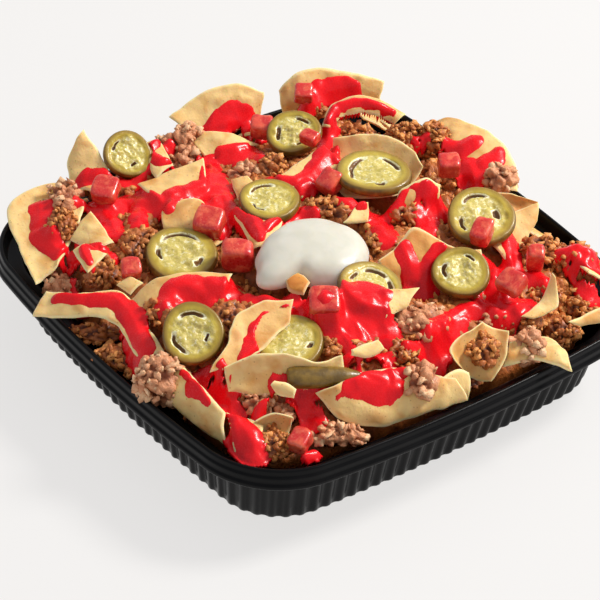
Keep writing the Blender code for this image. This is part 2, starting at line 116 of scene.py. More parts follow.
def closed_sheet(top, bottom):
    """Points and faces of a closed skin: a grid above, the same grid below, and a rim of
    faces that joins their borders."""
    rows, columns = top.shape[:2]
    count = rows * columns
    index = np.arange(count).reshape(rows, columns)
    upper = grid_faces(rows, columns)
    lower = upper[:, ::-1] + count
    rim = np.concatenate([index[0], index[1:, -1], index[-1, -2::-1], index[-2:0:-1, 0]])
    after = np.roll(rim, -1)
    sides = np.stack([after, rim, rim + count, after + count], axis=-1)
    points = np.concatenate([top.reshape(-1, 3), bottom.reshape(-1, 3)])
    faces = np.concatenate([upper, lower, sides])
    return points, outward(points, faces)


def unit(vector):
    return vector / np.linalg.norm(vector, axis=-1, keepdims=True)


# %% [markdown]
# ## Smooth randomness
#
# Food is never regular. A lattice of random numbers, blended smoothly between its points,
# gives bumps of a chosen size. Each use has its own seed, so every run gives the same dish.

# %% Lattice noise


def noise(points, size, seed):
    """Smooth random values from -1 to 1. Each point lies in a cube of a lattice with that
    cell size, and its value is the mean of the random numbers at the cube's eight corners,
    weighted by a smoothstep of how near each corner is along each axis."""
    table = np.random.default_rng(seed).uniform(-1.0, 1.0, (32, 32, 32))
    cell = np.asarray(points, float) / size
    low = np.floor(cell).astype(int)
    part = cell - low
    part = part * part * (3.0 - 2.0 * part)
    total = np.zeros(cell.shape[:-1])
    for corner in itertools.product((0, 1), repeat=3):
        weight = np.prod(np.where(corner, part, 1.0 - part), axis=-1)
        at = (low + corner) % 32
        total += weight * table[at[..., 0], at[..., 1], at[..., 2]]
    return total


def layered_noise(points, size, seed, layers=3):
    """A sum of noises, each with half the size and half the strength of the one before."""
    return sum(noise(points, size / 2**step, seed + step) / 2**step for step in range(layers))


print("noise at the origin:", round(float(noise(np.zeros(3), 5.0, 1)), 3))

# %% [markdown]
# ## Shader sums
#
# A material is a net of nodes. Sums with many Math nodes are hard to read, so one small class
# wraps a node's output and lets Python's own signs add the Math nodes. One method makes every
# other kind of node.

# %% A socket that does sums


class Wire:
    """The output of a shader node. A sign between a wire and a wire or number adds a Math node."""

    def __init__(self, tree, socket):
        self.tree = tree
        self.socket = socket

    def node(self, kind, inputs, output=0, **settings):
        """A new node of that kind: its settings first, then a value or a wire for each socket."""
        made = self.tree.nodes.new("ShaderNode" + kind)
        for label, value in settings.items():
            setattr(made, label, value)
        for label, value in inputs.items():
            if isinstance(value, Wire):
                self.tree.links.new(value.socket, made.inputs[label])
            else:
                made.inputs[label].default_value = value
        return Wire(self.tree, made.outputs[output])

    def maths(self, operation, first, second=0.0):
        return self.node("Math", {0: first, 1: second}, operation=operation)

    def __add__(self, other):
        return self.maths("ADD", self, other)

    def __sub__(self, other):
        return self.maths("SUBTRACT", self, other)

    def __rsub__(self, other):
        return self.maths("SUBTRACT", other, self)

    def __mul__(self, other):
        return self.maths("MULTIPLY", self, other)

    __radd__ = __add__
    __rmul__ = __mul__

    def ease(self, low, high):
        """0 below low, 1 above high, and a smooth step between. High may be the lower one."""
        ends = {"Value": self, "From Min": low, "From Max": high}
        return self.node("MapRange", ends, interpolation_type="SMOOTHSTEP")

    def noise(self, size, detail=2.0, distortion=0.0):
        """Blender's own noise, from 0 to 1, with bumps of that many millimetres."""
        inputs = {"Vector": self, "Scale": 1.0 / (size * MILLIMETRE)}
        return self.node("TexNoise", inputs | {"Detail": detail, "Distortion": distortion})

    def cells(self, size, **settings):
        """The distance to the nearest of many scattered points, that many millimetres apart."""
        return self.node("TexVoronoi", {"Vector": self, "Scale": 1.0 / (size * MILLIMETRE)}, **settings)


def srgb(red, green, blue):
    """A colour as a shader takes it, from the 0 to 255 that a colour picker shows."""
    share = np.array([red, green, blue]) / 255.0
    linear = np.where(share > 0.04045, ((share + 0.055) / 1.055) ** 2.4, share / 12.92)
    return (*[float(value) for value in linear], 1.0)


def blend(mask, first, second):
    """The first colour where the mask is 0 and the second where it is 1."""
    return mask.node("Mix", {0: mask, 6: first, 7: second}, output=2, data_type="RGBA")


def bump(height, strength, distance):
    """A normal tilted as if the surface had that height, of so many millimetres."""
    return height.node("Bump", {"Strength": strength, "Distance": distance * MILLIMETRE, "Height": height})


def start_material(name):
    """A new material: itself, its Principled shader and its Object coordinates."""
    made = bpy.data.materials.new(name)
    made.use_nodes = True
    shader = made.node_tree.nodes["Principled BSDF"]
    place = Wire(made.node_tree, made.node_tree.nodes.new("ShaderNodeTexCoord").outputs["Object"])
    return made, shader, place


def stored(place, label):
    """A number that make_piece stored at the points of the mesh."""
    return place.node("Attribute", {}, output="Fac", attribute_name=label)


def set_shader(shader, **inputs):
    """Plain numbers and wires for the Principled shader, with _ for each space in a name."""
    for label, value in inputs.items():
        socket = shader.inputs[label.replace("_", " ")]
        if isinstance(value, Wire):
            value.tree.links.new(value.socket, socket)
        else:
            socket.default_value = value


# %% [markdown]
# ## The tray
#
# The real tray is one sheet of black plastic, pressed in a mould: a ribbed wall, a ledge for
# the lid and a rolled rim with two beads. The wall could be a cube with a Bevel and an Array
# of ribs. Here it is one profile carried round an outline, because then the ribs can follow
# the round corners. Each point of the profile holds how far out it is, its height, and how
# much of the rib pattern it shows.

# %% The tray's outline

BASE_HALF, RIM_HALF = 91.4, 108.0
BASE_CORNER, RIM_CORNER = 27.5, 37.7
BASE_BOW, RIM_BOW = 937.0, 664.0
RIBS, POINTS_A_RIB = 112, 8
AROUND = RIBS * POINTS_A_RIB


def tray_outline(half, count=AROUND):
    """Points spaced evenly round a square with bowed sides and round corners. A side is an arc
    of the bow's radius and a corner one of the corner's radius, and they meet with no kink
    where cos(a) - sin(a) = (bow - half) / (bow - corner)."""
    share = (half - BASE_HALF) / (RIM_HALF - BASE_HALF)
    corner = BASE_CORNER + share * (RIM_CORNER - BASE_CORNER)
    bow = BASE_BOW + share * (RIM_BOW - BASE_BOW)
    meet = math.acos((bow - half) / (bow - corner) / math.sqrt(2)) - math.pi / 4
    middle = (bow - corner) * math.sin(meet)
    side = np.linspace(-meet, meet, 60, endpoint=False)
    turn = np.linspace(meet, math.pi / 2 - meet, 120, endpoint=False)
    quarter = np.concatenate([
        np.stack([half - bow + bow * np.cos(side), bow * np.sin(side)], axis=1),
        np.stack([middle + corner * np.cos(turn), middle + corner * np.sin(turn)], axis=1),
    ])
    quarter_turn = np.array([[0.0, 1.0], [-1.0, 0.0]])
    ring = [quarter @ np.linalg.matrix_power(quarter_turn, step) for step in range(4)]
    ring = np.concatenate([*ring, quarter[:1]])
    length = np.concatenate([[0.0], np.cumsum(np.linalg.norm(np.diff(ring, axis=0), axis=1))])
    wanted = np.arange(count) / count * length[-1]
    return np.stack([np.interp(wanted, length, ring[:, axis]) for axis in (0, 1)], axis=1)


# %% The tray's profile, from under the floor, up the outside, over the rim and down inside

TRAY_PROFILE = [
    (70.0, 0.3, 0.0), (86.0, 0.3, 0.0), (88.4, 0.0, 0.0), (90.6, 0.0, 0.5), (91.5, 0.9, 1.0),
    (92.2, 4.0, 1.0),
    (96.8, 24.0, 1.0), (97.5, 27.6, 1.0), (98.2, 28.4, 0.3), (102.0, 28.5, 0.0), (107.0, 28.5, 0.0),
    (107.9, 28.7, 0.0), (108.0, 29.6, 0.0), (107.9, 30.4, 0.0), (107.2, 30.9, 0.0), (107.0, 31.4, 0.0),
    (107.1, 33.0, 0.0), (107.0, 33.7, 0.0), (106.4, 34.1, 0.0), (106.2, 34.6, 0.0), (106.15, 36.0, 0.0),
    (105.9, 36.6, 0.0), (105.2, 36.8, 0.0), (104.5, 36.6, 0.0), (104.2, 36.0, 0.0), (103.1, 31.6, 0.0),
    (102.6, 30.8, 0.0), (101.6, 30.6, 0.0), (97.6, 30.5, 0.0), (96.3, 30.1, 0.0), (95.7, 28.8, 0.0),
    (89.6, 4.6, 0.0), (88.6, 2.5, 0.0), (86.4, 1.7, 0.0), (70.0, 1.6, 0.0),
]
RIB_DEPTH = 1.2


def cut_corners(profile, rounds):
    """Rounds a line of points: each step between two of them becomes its 1/4 and 3/4 points."""
    for _ in range(rounds):
        early, late = 0.75 * profile[:-1] + 0.25 * profile[1:], 0.25 * profile[:-1] + 0.75 * profile[1:]
        between = np.stack([early, late], axis=1).reshape(-1, profile.shape[1])
        profile = np.concatenate([profile[:1], between, profile[-1:]])
    return profile


profile = cut_corners(np.array(TRAY_PROFILE), 1)
# Across one rib the wall is full for most of the way and dips into a narrow round groove.
across_rib = (np.arange(AROUND) % POINTS_A_RIB) / POINTS_A_RIB
groove = np.clip(1.25 - 2.9 * np.abs(across_rib - 0.5), 0.0, 1.0)
groove = groove * groove * (3.0 - 2.0 * groove)
rings = []
for half, height, ribbed in profile:
    outer, inner = tray_outline(half), tray_outline(half - RIB_DEPTH)
    depth = (ribbed * groove)[:, None]
    rings.append(np.column_stack([(1.0 - depth) * outer + depth * inner, np.full(AROUND, height)]))
tray_points = np.concatenate(rings)
tray_faces = outward(tray_points, tube_faces(len(rings), AROUND))
print("tray:", len(rings), "rings of", AROUND, "points")

# %% [markdown]
# Moulded black plastic is not quite black, and it is smoother inside than outside; here its
# roughness only varies in slow patches, the same inside and out. A faint grain breaks up the highlights.

# %% The tray's material and piece

black_plastic, shader, place = start_material("black_plastic")
grain = place.noise(0.5, 3.0)
scuff = place.noise(14.0, 4.0)
set_shader(
    shader,
    Base_Color=blend(scuff.ease(0.35, 0.75), srgb(5, 5, 6), srgb(12, 11, 12)),
    Roughness=0.22 + 0.14 * scuff,
    Specular_IOR_Level=0.12,
    Normal=bump(grain, 0.25, 0.05),
)
underside, floor = np.arange(AROUND)[::-1], np.arange(len(tray_points) - AROUND, len(tray_points))
tray = make_piece("tray_shell", tray_points, tray_faces, black_plastic, caps=[underside, floor])
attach(tray, "root")
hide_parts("tray")

# %% [markdown]
# ## A map of heights
#
# Sauce lies on whatever is under it, and crumbs roll until they rest. A physics simulation
# could drop them, but it would take minutes and would not put them where they belong. A map of
# the heap's height at every 0.6 mm is enough: each piece raises the map to its own
# top, and the next piece asks the map how high it has to lie.

# %% The height map

MAP_HALF = 120.0
MAP_STEP = 0.6
MAP_COUNT = int(2 * MAP_HALF / MAP_STEP) + 1
map_line = np.linspace(-MAP_HALF, MAP_HALF, MAP_COUNT)
map_x, map_y = np.meshgrid(map_line, map_line, indexing="ij")


def map_index(places):
    """The row and column of the map's nearest point, for places in mm."""
    nearest = np.rint((places + MAP_HALF) / MAP_STEP).astype(int)
    return np.clip(nearest, 0, MAP_COUNT - 1)


def raised(heights, points, lowest=False):
    """A copy of the map, raised to the points that lie above it, or lowered to those below."""
    points = np.asarray(points).reshape(-1, 3)
    at = map_index(points[:, :2])
    new = heights.copy()
    (np.minimum if lowest else np.maximum).at(new, (at[:, 0], at[:, 1]), points[:, 2])
    return new


def read_map(heights, x, y):
    """The map's height at any place: the mean of the four map points around it, weighted by
    how near each one is."""
    column = np.clip((np.asarray(x) + MAP_HALF) / MAP_STEP, 0, MAP_COUNT - 1.001)
    row = np.clip((np.asarray(y) + MAP_HALF) / MAP_STEP, 0, MAP_COUNT - 1.001)
    i, j = column.astype(int), row.astype(int)
    u, v = column - i, row - j
    near = (1 - u) * heights[i, j] + u * heights[i + 1, j]
    far = (1 - u) * heights[i, j + 1] + u * heights[i + 1, j + 1]
    return (1 - v) * near + v * far


def smoothed(heights, radius):
    """The map blurred by a bell curve of that radius in mm, done as a product of waves."""
    wave = np.fft.fftfreq(MAP_COUNT, MAP_STEP)
    bell = np.exp(-2.0 * (math.pi * radius * wave) ** 2)
    return np.fft.ifft2(np.fft.fft2(heights) * bell[:, None] * bell[None, :]).real


def samples_of(node, steps=16):
    """Points spread evenly over every triangle of a CAD node, in mm."""
    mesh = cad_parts[node].data
    mesh.calc_loop_triangles()
    corners = np.empty(3 * len(mesh.vertices))
    mesh.vertices.foreach_get("co", corners)
    index = np.empty(3 * len(mesh.loop_triangles), int)
    mesh.loop_triangles.foreach_get("vertices", index)
    triangles = (corners.reshape(-1, 3) / MILLIMETRE)[index.reshape(-1, 3)]
    weights = [(i, j, steps - i - j) for i in range(steps + 1) for j in range(steps + 1 - i)]
    return np.einsum("wc,tcx->twx", np.array(weights) / steps, triangles).reshape(-1, 3)


heap_top = raised(np.full((MAP_COUNT, MAP_COUNT), 2.0), samples_of("heap"))
print("heap from", heap_top.min(), "to", round(heap_top.max(), 1), "mm high")

# %% [markdown]
# ## Corn chips
#
# A corn chip is a thin sheet of dough that curls as it fries. Solidify on a bent plane would
# give the thickness, but not the rounded rim. So each chip is a sheet between two curved
# edges, as in the frame: its two faces stand half the thickness to either side, and come
# together in a round rim. Noise adds the slow warp and the fried blisters.

# %% Where the chips lie: crown in mm, near edge, far edge

CHIPS = {
    "chip_back_left_low": (1.0, [(-94, -1, 52), (-78, 14, 54), (-70, 23, 50)],
                           [(-76, -1, 49), (-70, 11, 49)]),
    "chip_back_left": (1.0, [(-107, 2, 51), (-107, 11, 55), (-104, 21, 60), (-99, 31, 62), (-92, 41, 58)],
                       [(-98, 6, 47), (-89, 22, 46), (-90, 38, 46)]),
    "chip_back": (2.0, [(-96, 52, 53), (-94, 59, 60), (-81, 79, 61), (-70, 90, 58)],
                  [(-92, 52, 42), (-81, 58, 44), (-75, 75, 44), (-71, 88, 45)]),
    "chip_back_right": (2.0, [(-40, 92, 50), (-37, 96, 54), (-20, 100, 59), (-3, 102, 58), (14, 96, 53),
                              (19, 92, 50)],
                        [(-32, 87, 50), (-12, 80, 51), (11, 79, 49)]),
    "chip_ridge": (1.5, [(-57, 46, 57), (-63, 55, 61), (-61, 66, 64), (-52, 76, 62), (-44, 81, 58)],
                   [(-54, 48, 57), (-56, 56, 59), (-52, 65, 60), (-43, 75, 56)]),
    "chip_upper_left": (1.0, [(-104, -44, 63), (-98, -42, 58), (-84, -42, 49)],
                        [(-103, -47, 61), (-102, -53, 50), (-95, -56, 45)]),
    "chip_left_corner": (-1.5, [(-87, -59, 50), (-94, -67, 50), (-95, -80, 50), (-92, -88, 49),
                                (-70, -97, 43), (-50, -102, 40)],
                         [(-74, -62, 50), (-62, -75, 48), (-52, -90, 43)]),
    "chip_left_strip": (1.0, [(-91, -24, 54), (-72, -29, 51)], [(-90, -15, 55), (-74, -18, 52)]),
    "chip_left_point": (1.0, [(-64, -66, 54), (-44, -68, 50)], [(-59, -80, 48), (-45, -77, 49)]),
    "chip_centre_left": (1.5, [(-69, -40, 54), (-66, -9, 57)], [(-49, -39, 51), (-50, -18, 54)]),
    "chip_left_arch": (1.0, [(-48, -42, 53), (-49, -34, 55), (-45, -28, 56), (-20, -35, 50)],
                       [(-41, -46, 50), (-32, -39, 50), (-21, -37, 49)]),
    "chip_left_curl": (0.5, [(-33, -114, 39), (-25, -106, 40), (-13, -95, 43), (-3, -93, 44), (8, -95, 42),
                             (16, -96, 41)],
                       [(-39, -104, 44), (-27, -98, 48), (-18, -83, 48), (7, -85, 46), (23, -89, 47)]),
    "chip_curled": (2.0, [(-11, -82, 48), (-10, -73, 54), (-2, -58, 57), (6, -45, 56)],
                    [(3, -84, 45), (5, -73, 49), (13, -54, 51)]),
    "chip_back_sauced": (1.0, [(-35, 4, 58), (-41, 34, 61)], [(-22, 10, 55), (-24, 28, 57), (-27, 35, 59)]),
    "chip_bowl_back": (-4.0, [(-42, 41, 62), (-29, 55, 66), (-15, 60, 66), (-5, 60, 62)],
                       [(-33, 33, 56), (-15, 27, 53), (-4, 44, 53)]),
    "chip_tent": (2.0, [(3, 41, 62), (7, 51, 66), (10, 57, 62)], [(6, 33, 54), (10, 44, 52), (13, 53, 55)]),
    "chip_strip_centre": (1.0, [(-29, -21, 56), (-3, -28, 56)],
                               [(-27, -9, 56), (-10, -9, 58), (-1, -25, 56)]),
    "chip_wavy": (1.5, [(33, 7, 58), (32, 16, 60), (32, 26, 66), (38, 31, 63), (46, 35, 61), (50, 46, 58)],
                  [(38, 6, 51), (45, 16, 48), (50, 24, 47), (50, 34, 50), (52, 44, 53)]),
    "chip_fold_back": (-1.0, [(18, 71, 56), (23, 78, 58), (33, 91, 54)],
                       [(31, 75, 50), (31, 83, 50), (34, 91, 53)]),
    "chip_fold_front": (1.0, [(42, 57, 52), (33, 73, 53), (35, 89, 55)],
                        [(55, 59, 46), (47, 70, 46), (40, 85, 50)]),
    "chip_under_centre": (1.0, [(51, -5, 59), (57, 9, 58)], [(61, -11, 54), (61, -1, 55)]),
    "chip_bright_fold": (-1.0, [(44, -83, 48), (40, -72, 54), (31, -60, 59), (31, -54, 60), (37, -38, 60)],
                         [(49, -74, 50), (48, -61, 52), (44, -45, 56)]),
    "chip_bowl_front": (-1.0, [(49, -80, 52), (54, -69, 57), (65, -55, 57), (69, -50, 55), (73, -41, 57)],
                        [(54, -81, 44), (60, -73, 43), (70, -58, 44), (78, -43, 49)]),
    "chip_front_left": (2.0, [(27, -97, 37), (48, -95, 33), (69, -91, 31)], [(35, -88, 47), (62, -88, 43)]),
    "chip_front_drip": (1.5, [(75, -92, 31), (82, -87, 31)], [(61, -87, 42), (72, -77, 38)]),
    "chip_front_curl": (-3.0, [(73, -81, 32), (78, -69, 30)],
                              [(71, -80, 41), (74, -74, 44), (79, -68, 42)]),
    "chip_front": (2.0, [(75, -55, 46), (84, -51, 38), (93, -41, 35), (99, -18, 36), (103, -2, 37)],
                   [(79, -46, 50), (82, -27, 50), (98, -5, 46)]),
    "chip_flap": (1.0, [(94, -6, 39), (98, -4, 35), (100, 1, 34)],
                       [(94, -9, 45), (94, -1, 46), (96, 4, 44)]),
    "chip_boat": (-5.0, [(85, 18, 56), (88, 0, 50), (95, 4, 42)],
                        [(92, 26, 52), (99, 19, 44), (100, 12, 38)]),
    "chip_right_tip": (1.0, [(97, 20, 40), (102, 30, 42), (113, 43, 38)],
                       [(93, 26, 47), (99, 42, 46), (105, 45, 43)]),
    "chip_sliver": (0.5, [(83, 40, 47), (82, 51, 50), (80, 58, 60)],
                         [(86, 44, 46), (87, 56, 48), (82, 58, 59)]),
    "chip_right_edge": (1.0, [(97, 60, 43), (99, 69, 42), (104, 82, 42)],
                             [(96, 54, 47), (97, 70, 48), (98, 83, 47)]),
}
CHIP_THICK = 1.7

# %% One chip's surface


def curve_through(points, count):
    """A smooth curve through the points. Between two points it is a cubic, whose slope at each
    point is that of the line that joins the points before and after it."""
    points = np.asarray(points, float)
    knots = np.concatenate([[0.0], np.cumsum(np.linalg.norm(np.diff(points, axis=0), axis=1))])
    slopes = np.gradient(points, knots, axis=0)
    wanted = count if np.ndim(count) else np.linspace(0.0, 1.0, count)
    wanted = np.asarray(wanted) * knots[-1]
    start = np.clip(np.searchsorted(knots, wanted, side="right") - 1, 0, len(points) - 2)
    span = (knots[start + 1] - knots[start])[:, None]
    t = (wanted - knots[start])[:, None] / span
    curve = (2 * t**3 - 3 * t**2 + 1) * points[start] + (3 * t**2 - 2 * t**3) * points[start + 1]
    return curve + span * ((t**3 - 2 * t**2 + t) * slopes[start] + (t**3 - t**2) * slopes[start + 1])


def close_at_ends(length, step):
    """Shares from 0 to 1 along a length: even steps of that many mm, closer at both ends so
    that a rim can be round."""
    ends = np.array([0.0, 0.12, 0.35, 0.7]) / length
    inner = np.linspace(1.2 / length, 1.0 - 1.2 / length, max(3, int(length / step)))
    return np.concatenate([ends, inner, 1.0 - ends[::-1]])


def chip_sheet(crown, near, far, seed, step=0.9, warp=1.0):
    """A chip's two faces as grids, with its blisters' height. At shares u along and v across,
    the middle lies on the straight line from the near edge to the far one, raised by
    4 v (1 - v) crowns, and moved by noise. Half the thickness, drawn in to a circle's
    outline over the last millimetre, parts the faces."""
    near, far = np.array(near, float), np.array(far, float)
    along = np.linalg.norm(near[-1] - near[0]) + 1.0
    across = np.linalg.norm(near.mean(axis=0) - far.mean(axis=0)) + 1.0
    u, v = close_at_ends(along, step), close_at_ends(across, step)
    near, far = curve_through(near, u), curve_through(far, u)
    normal = unit(np.cross(near[-1] + far[-1] - near[0] - far[0], near.mean(axis=0) - far.mean(axis=0)))
    normal = normal if normal @ (UP + 0.5 * FRONT) > 0 else -normal
    v = v[:, None, None]
    middle = (1.0 - v) * near + v * far + 4.0 * v * (1.0 - v) * crown * normal
    to_end = np.minimum(u, 1.0 - u)[None, :] * along
    to_side = np.minimum(v, 1.0 - v)[..., 0] * across
    inside = np.clip(np.minimum(to_end, to_side) / 1.2, 0.0, 1.0)
    half = 0.5 * CHIP_THICK * np.sqrt(1.0 - (1.0 - inside) ** 2)
    ragged = np.stack([noise(middle, 4.0, seed + axis) for axis in range(3)], axis=-1)
    middle = middle + 0.45 * ragged + 0.7 * warp * noise(middle, 13.0, seed + 5)[..., None] * normal
    blister = np.clip(noise(middle, 5.5, seed + 7) - 0.15, 0.0, 1.0) * inside
    rough = 0.10 * layered_noise(middle, 1.8, seed + 9)
    top = middle + (half + (0.9 * blister + rough) * inside)[..., None] * normal
    bottom = middle - (half + (rough - 0.5 * blister) * inside)[..., None] * normal
    return top, bottom, blister, 1.0 - inside


# %% [markdown]
# Fried corn dough is pale yellow where it is dry, brown on the blisters and where it is thin,
# and light passes through it: the side away from the light glows orange. A little subsurface
# scattering, with red travelling further than blue, gives that glow. Some chips are painted
# browner and more orange, partly real browning and partly painted shade on faces turned away
# from the light. A pale band along every rim is a painted highlight.

# %% The chip material

corn, shader, place = start_material("fried_corn")
patches = place.noise(9.0, 3.0, 0.4)
grains = place.noise(1.1, 3.0)
flecks = place.cells(2.6, feature="F1")
toast = stored(place, "toast")
pale_side = blend(patches.ease(0.42, 0.78), srgb(243, 215, 148), srgb(226, 172, 92))
dark_side = blend(patches.ease(0.3, 0.7), srgb(222, 156, 72), srgb(196, 116, 44))
# Painted shade, partly real browning: the per-chip number mixes the plain colour towards the darker orange.
toasted = blend(toast, pale_side, dark_side)
browned = blend(stored(place, "blister").ease(0.1, 0.75) * 0.55, toasted, srgb(184, 116, 46))
# Painted highlight: a pale band along every rim, where the rims catch the light.
edged = blend(stored(place, "edge").ease(0.1, 0.9) * 0.7, browned, srgb(246, 228, 172))
flecked = blend(flecks.ease(0.16, 0.08) * 0.45, edged, srgb(150, 92, 38))
set_shader(
    shader,
    Base_Color=flecked,
    Roughness=0.5 + 0.2 * grains,
    Specular_IOR_Level=0.35,
    Subsurface_Weight=0.25,
    Subsurface_Radius=(1.0, 0.35, 0.08),
    Subsurface_Scale=0.003,
    Normal=bump(grains + 0.5 * patches, 0.6, 0.25),
)

# %% Make every chip, and keep its faces for the height map

PLAIN_TOAST = 0.22
# How brown a chip is painted, from 0 to 1, where it differs from the plain ones: partly real browning, partly
# painted shade on faces turned away from the light.
TOASTED = {
    "chip_wavy": 0.85,
    "chip_bright_fold": 0.5,
    "chip_left_arch": 0.45,
    "chip_curled": 0.4,
    "chip_fold_back": 0.7,
    "chip_boat": 0.45,
    "chip_tent": 0.4,
    "chip_bowl_back": 0.35,
    "chip_ridge": 0.4,
    "chip_back_sauced": 0.35,
    "chip_centre_left": 0.35,
    "chip_back": 0.3,
    "chip_front": 0.3,
    "chip_fold_front": 0.45,
    "chip_back_right": 0.35,
    "chip_right_edge": 0.4,
}

chip_tops, chip_bottoms = {}, {}
for seed, (node, (crown, near, far)) in enumerate(CHIPS.items()):
    top, bottom, blister, edge = chip_sheet(crown, near, far, 40 * seed)
    chip_tops[node], chip_bottoms[node] = top, bottom
    points, faces = closed_sheet(top, bottom)
    values = {
        "blister": np.concatenate([blister.ravel()] * 2),
        "edge": np.concatenate([edge.ravel()] * 2),
        "toast": np.full(2 * edge.size, TOASTED.get(node, PLAIN_TOAST)),
    }
    chip = make_piece(node.replace("chip", "corn_chip"), points, faces, corn, values)
    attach(chip, "root")
    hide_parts(node)
print(len(chip_tops), "chips of", sum(2 * top[..., 0].size for top in chip_tops.values()), "points")

# %% [markdown]
# Small broken bits stick out between the chips, and more chips lean against the heap's far
# sides, down to the rim. They are not in the frame, so they only ride on it, and each kind is
# one piece. A leaning chip is a rule: its wide edge lies outside and low, its narrow edge
# inside and high, and random numbers shift and turn it a little.

# %% Broken bits: crown in mm, near edge, far edge, and how brown they are painted, as browning and painted shade

SCRAPS = (
    (0.4, [(-25, -35, 51), (-20, -36, 49)], [(-24, -31, 52), (-21, -30, 50)], 0.2),
    (0.6, [(74, -38, 56), (77, -31, 54), (77, -24, 55)], [(73, -37, 58), (73, -31, 58), (74, -25, 58)], 0.2),
    (0.6, [(68, -71, 52), (70, -70, 49), (76, -66, 49)], [(67, -69, 53), (71, -66, 53), (75, -64, 52)], 0.2),
    (0.6, [(-49, -7, 55), (-36, -12, 54)], [(-45, 0, 56), (-41, -1, 56)], 0.5),
    (0.6, [(7, 9, 60), (11, 19, 59)], [(3, 20, 63), (4, 24, 63)], 0.2),
    (0.8, [(25, -33, 59), (29, -34, 57), (34, -31, 57)], [(25, -27, 60), (28, -26, 60), (31, -26, 59)], 1.0),
    (0.6, [(-47, -86, 52), (-33, -88, 50)], [(-47, -80, 53), (-37, -76, 52)], 0.3),
    (0.5, [(-21, -82, 49), (-14, -80, 48)], [(-21, -76, 51), (-14, -74, 51)], 0.3),
)
LEANING_EVERY = 20.0
LEANING_FOOT, LEANING_HEAD = (94.0, 35.0), (76.0, 49.0)


def join_chips(name, sheets):
    """One piece from several chips, each given by its two edges and how brown it is painted, as browning and
    painted shade.
    """
    points, faces, values = [], [], {"blister": [], "edge": [], "toast": []}
    for number, (crown, near, far, toast) in enumerate(sheets):
        top, bottom, blister, edge = chip_sheet(crown, near, far, 2000 + 40 * number, step=1.6)
        chip_tops[f"{name}_{number}"], chip_bottoms[f"{name}_{number}"] = top, bottom
        chip_points, chip_faces = closed_sheet(top, bottom)
        faces.append(chip_faces + sum(len(part) for part in points))
        points.append(chip_points)
        values["blister"].append(np.tile(blister.ravel(), 2))
        values["edge"].append(np.tile(edge.ravel(), 2))
        values["toast"].append(np.full(len(chip_points), toast))
    values = {label: np.concatenate(parts) for label, parts in values.items()}
    piece = make_piece(name, np.concatenate(points), np.concatenate(faces), corn, values)
    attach(piece, "root")
    print(name, len(sheets), "chips")


def leaning_chip(outwards, along, place, draw):
    """A chip that leans on the heap's side at that place along it."""
    width, turn, rise = draw.uniform(18, 30), draw.uniform(-7, 7), draw.uniform(-2, 3)
    sideways = np.array([-0.5, 0.0, 0.5])[:, None] * width * along + place * along
    near = sideways + (LEANING_FOOT[0] + draw.uniform(-2, 2)) * outwards + (LEANING_FOOT[1] + rise) * UP
    near = near + np.array([-1.0, 0.0, 1.0])[:, None] * turn * 0.4 * UP
    far = 0.35 * (sideways - place * along) + (place + turn) * along
    far = far + (LEANING_HEAD[0] + draw.uniform(-3, 3)) * outwards + (LEANING_HEAD[1] + rise) * UP
    return draw.uniform(-2.0, 2.5), near, far, draw.uniform(0.1, 0.6)


draw = np.random.default_rng(77)
back_side, left_side = np.array([0.0, 1.0, 0.0]), np.array([-1.0, 0.0, 0.0])
along_back, along_left = (np.arange(first, 75.0, LEANING_EVERY) for first in (-70.0, -66.0))
leaning = [leaning_chip(back_side, -left_side, place, draw) for place in along_back]
leaning += [leaning_chip(left_side, back_side, place, draw) for place in along_left]
join_chips("chip_scraps", SCRAPS)
join_chips("leaning_chips", leaning)

# %% [markdown]
# ## Pepper slices
#
# A pickled jalapeno ring has a thin dark skin, a translucent wall, and a pale seed bed that
# hangs from the wall on ribs, with hollows between. A torus would only give the wall. Here the
# slice's top is one height over distance from the middle and angle: the wall stands highest,
# the seed bed is lower and lumpy, and the hollows go deep. The skin follows as half a circle.

# %% Where the slices lie
# Middle, diameter, tilt towards FRONT, turn of that tilt, and hollows: angle from RIGHT,
# half its width in degrees, share of the radius, and half its width as a share.

SLICES = {
    "pepper_slice_01": ((-88, -32, 55), 21, 35, 20, [(150, 22, 0.60, 0.07), (300, 14, 0.5, 0.08)]),
    "pepper_slice_02": ((-59, 33, 58), 23, 22, -15,
                        [(185, 24, 0.58, 0.12), (60, 22, 0.62, 0.10), (300, 18, 0.6, 0.07)]),
    "pepper_slice_03": ((-12, 39, 62), 31, 0, 0,
                        [(165, 45, 0.60, 0.10), (40, 28, 0.64, 0.08), (280, 20, 0.6, 0.06)]),
    "pepper_slice_04": ((-23, -6, 59), 26, 4, 0, [(120, 35, 0.66, 0.08), (230, 25, 0.6, 0.08)]),
    "pepper_slice_05": ((-21, -51, 51), 30, 10, 0,
                        [(95, 42, 0.68, 0.06), (185, 20, 0.62, 0.09), (330, 16, 0.6, 0.07)]),
    "pepper_slice_06": ((33, 60, 58), 29, 17, 0,
                        [(12, 20, 0.42, 0.12), (110, 30, 0.68, 0.07), (210, 18, 0.6, 0.08)]),
    "pepper_slice_07": ((56, 31, 56), 23, 26, 0, [(180, 26, 0.60, 0.07), (60, 18, 0.64, 0.06)]),
    "pepper_slice_08": ((46, -7, 58), 27, 16, 60,
                        [(78, 30, 0.62, 0.11), (20, 16, 0.6, 0.10), (150, 16, 0.6, 0.08)]),
    "pepper_slice_09": ((26, -78, 53), 25, 35, 0,
                        [(95, 34, 0.62, 0.08), (345, 16, 0.46, 0.09), (222, 32, 0.66, 0.08)]),
    "pepper_slice_10": ((50, -49, 51), 27, 14, 0, [(125, 26, 0.62, 0.10), (350, 12, 0.6, 0.10)]),
}
SLICE_HALF_THICK = 2.0
SKIN_START = 0.92
SLICE_SIDES = 100
HOLLOW_WIDTH = 0.7
HOLLOW_DEPTH = 1.7


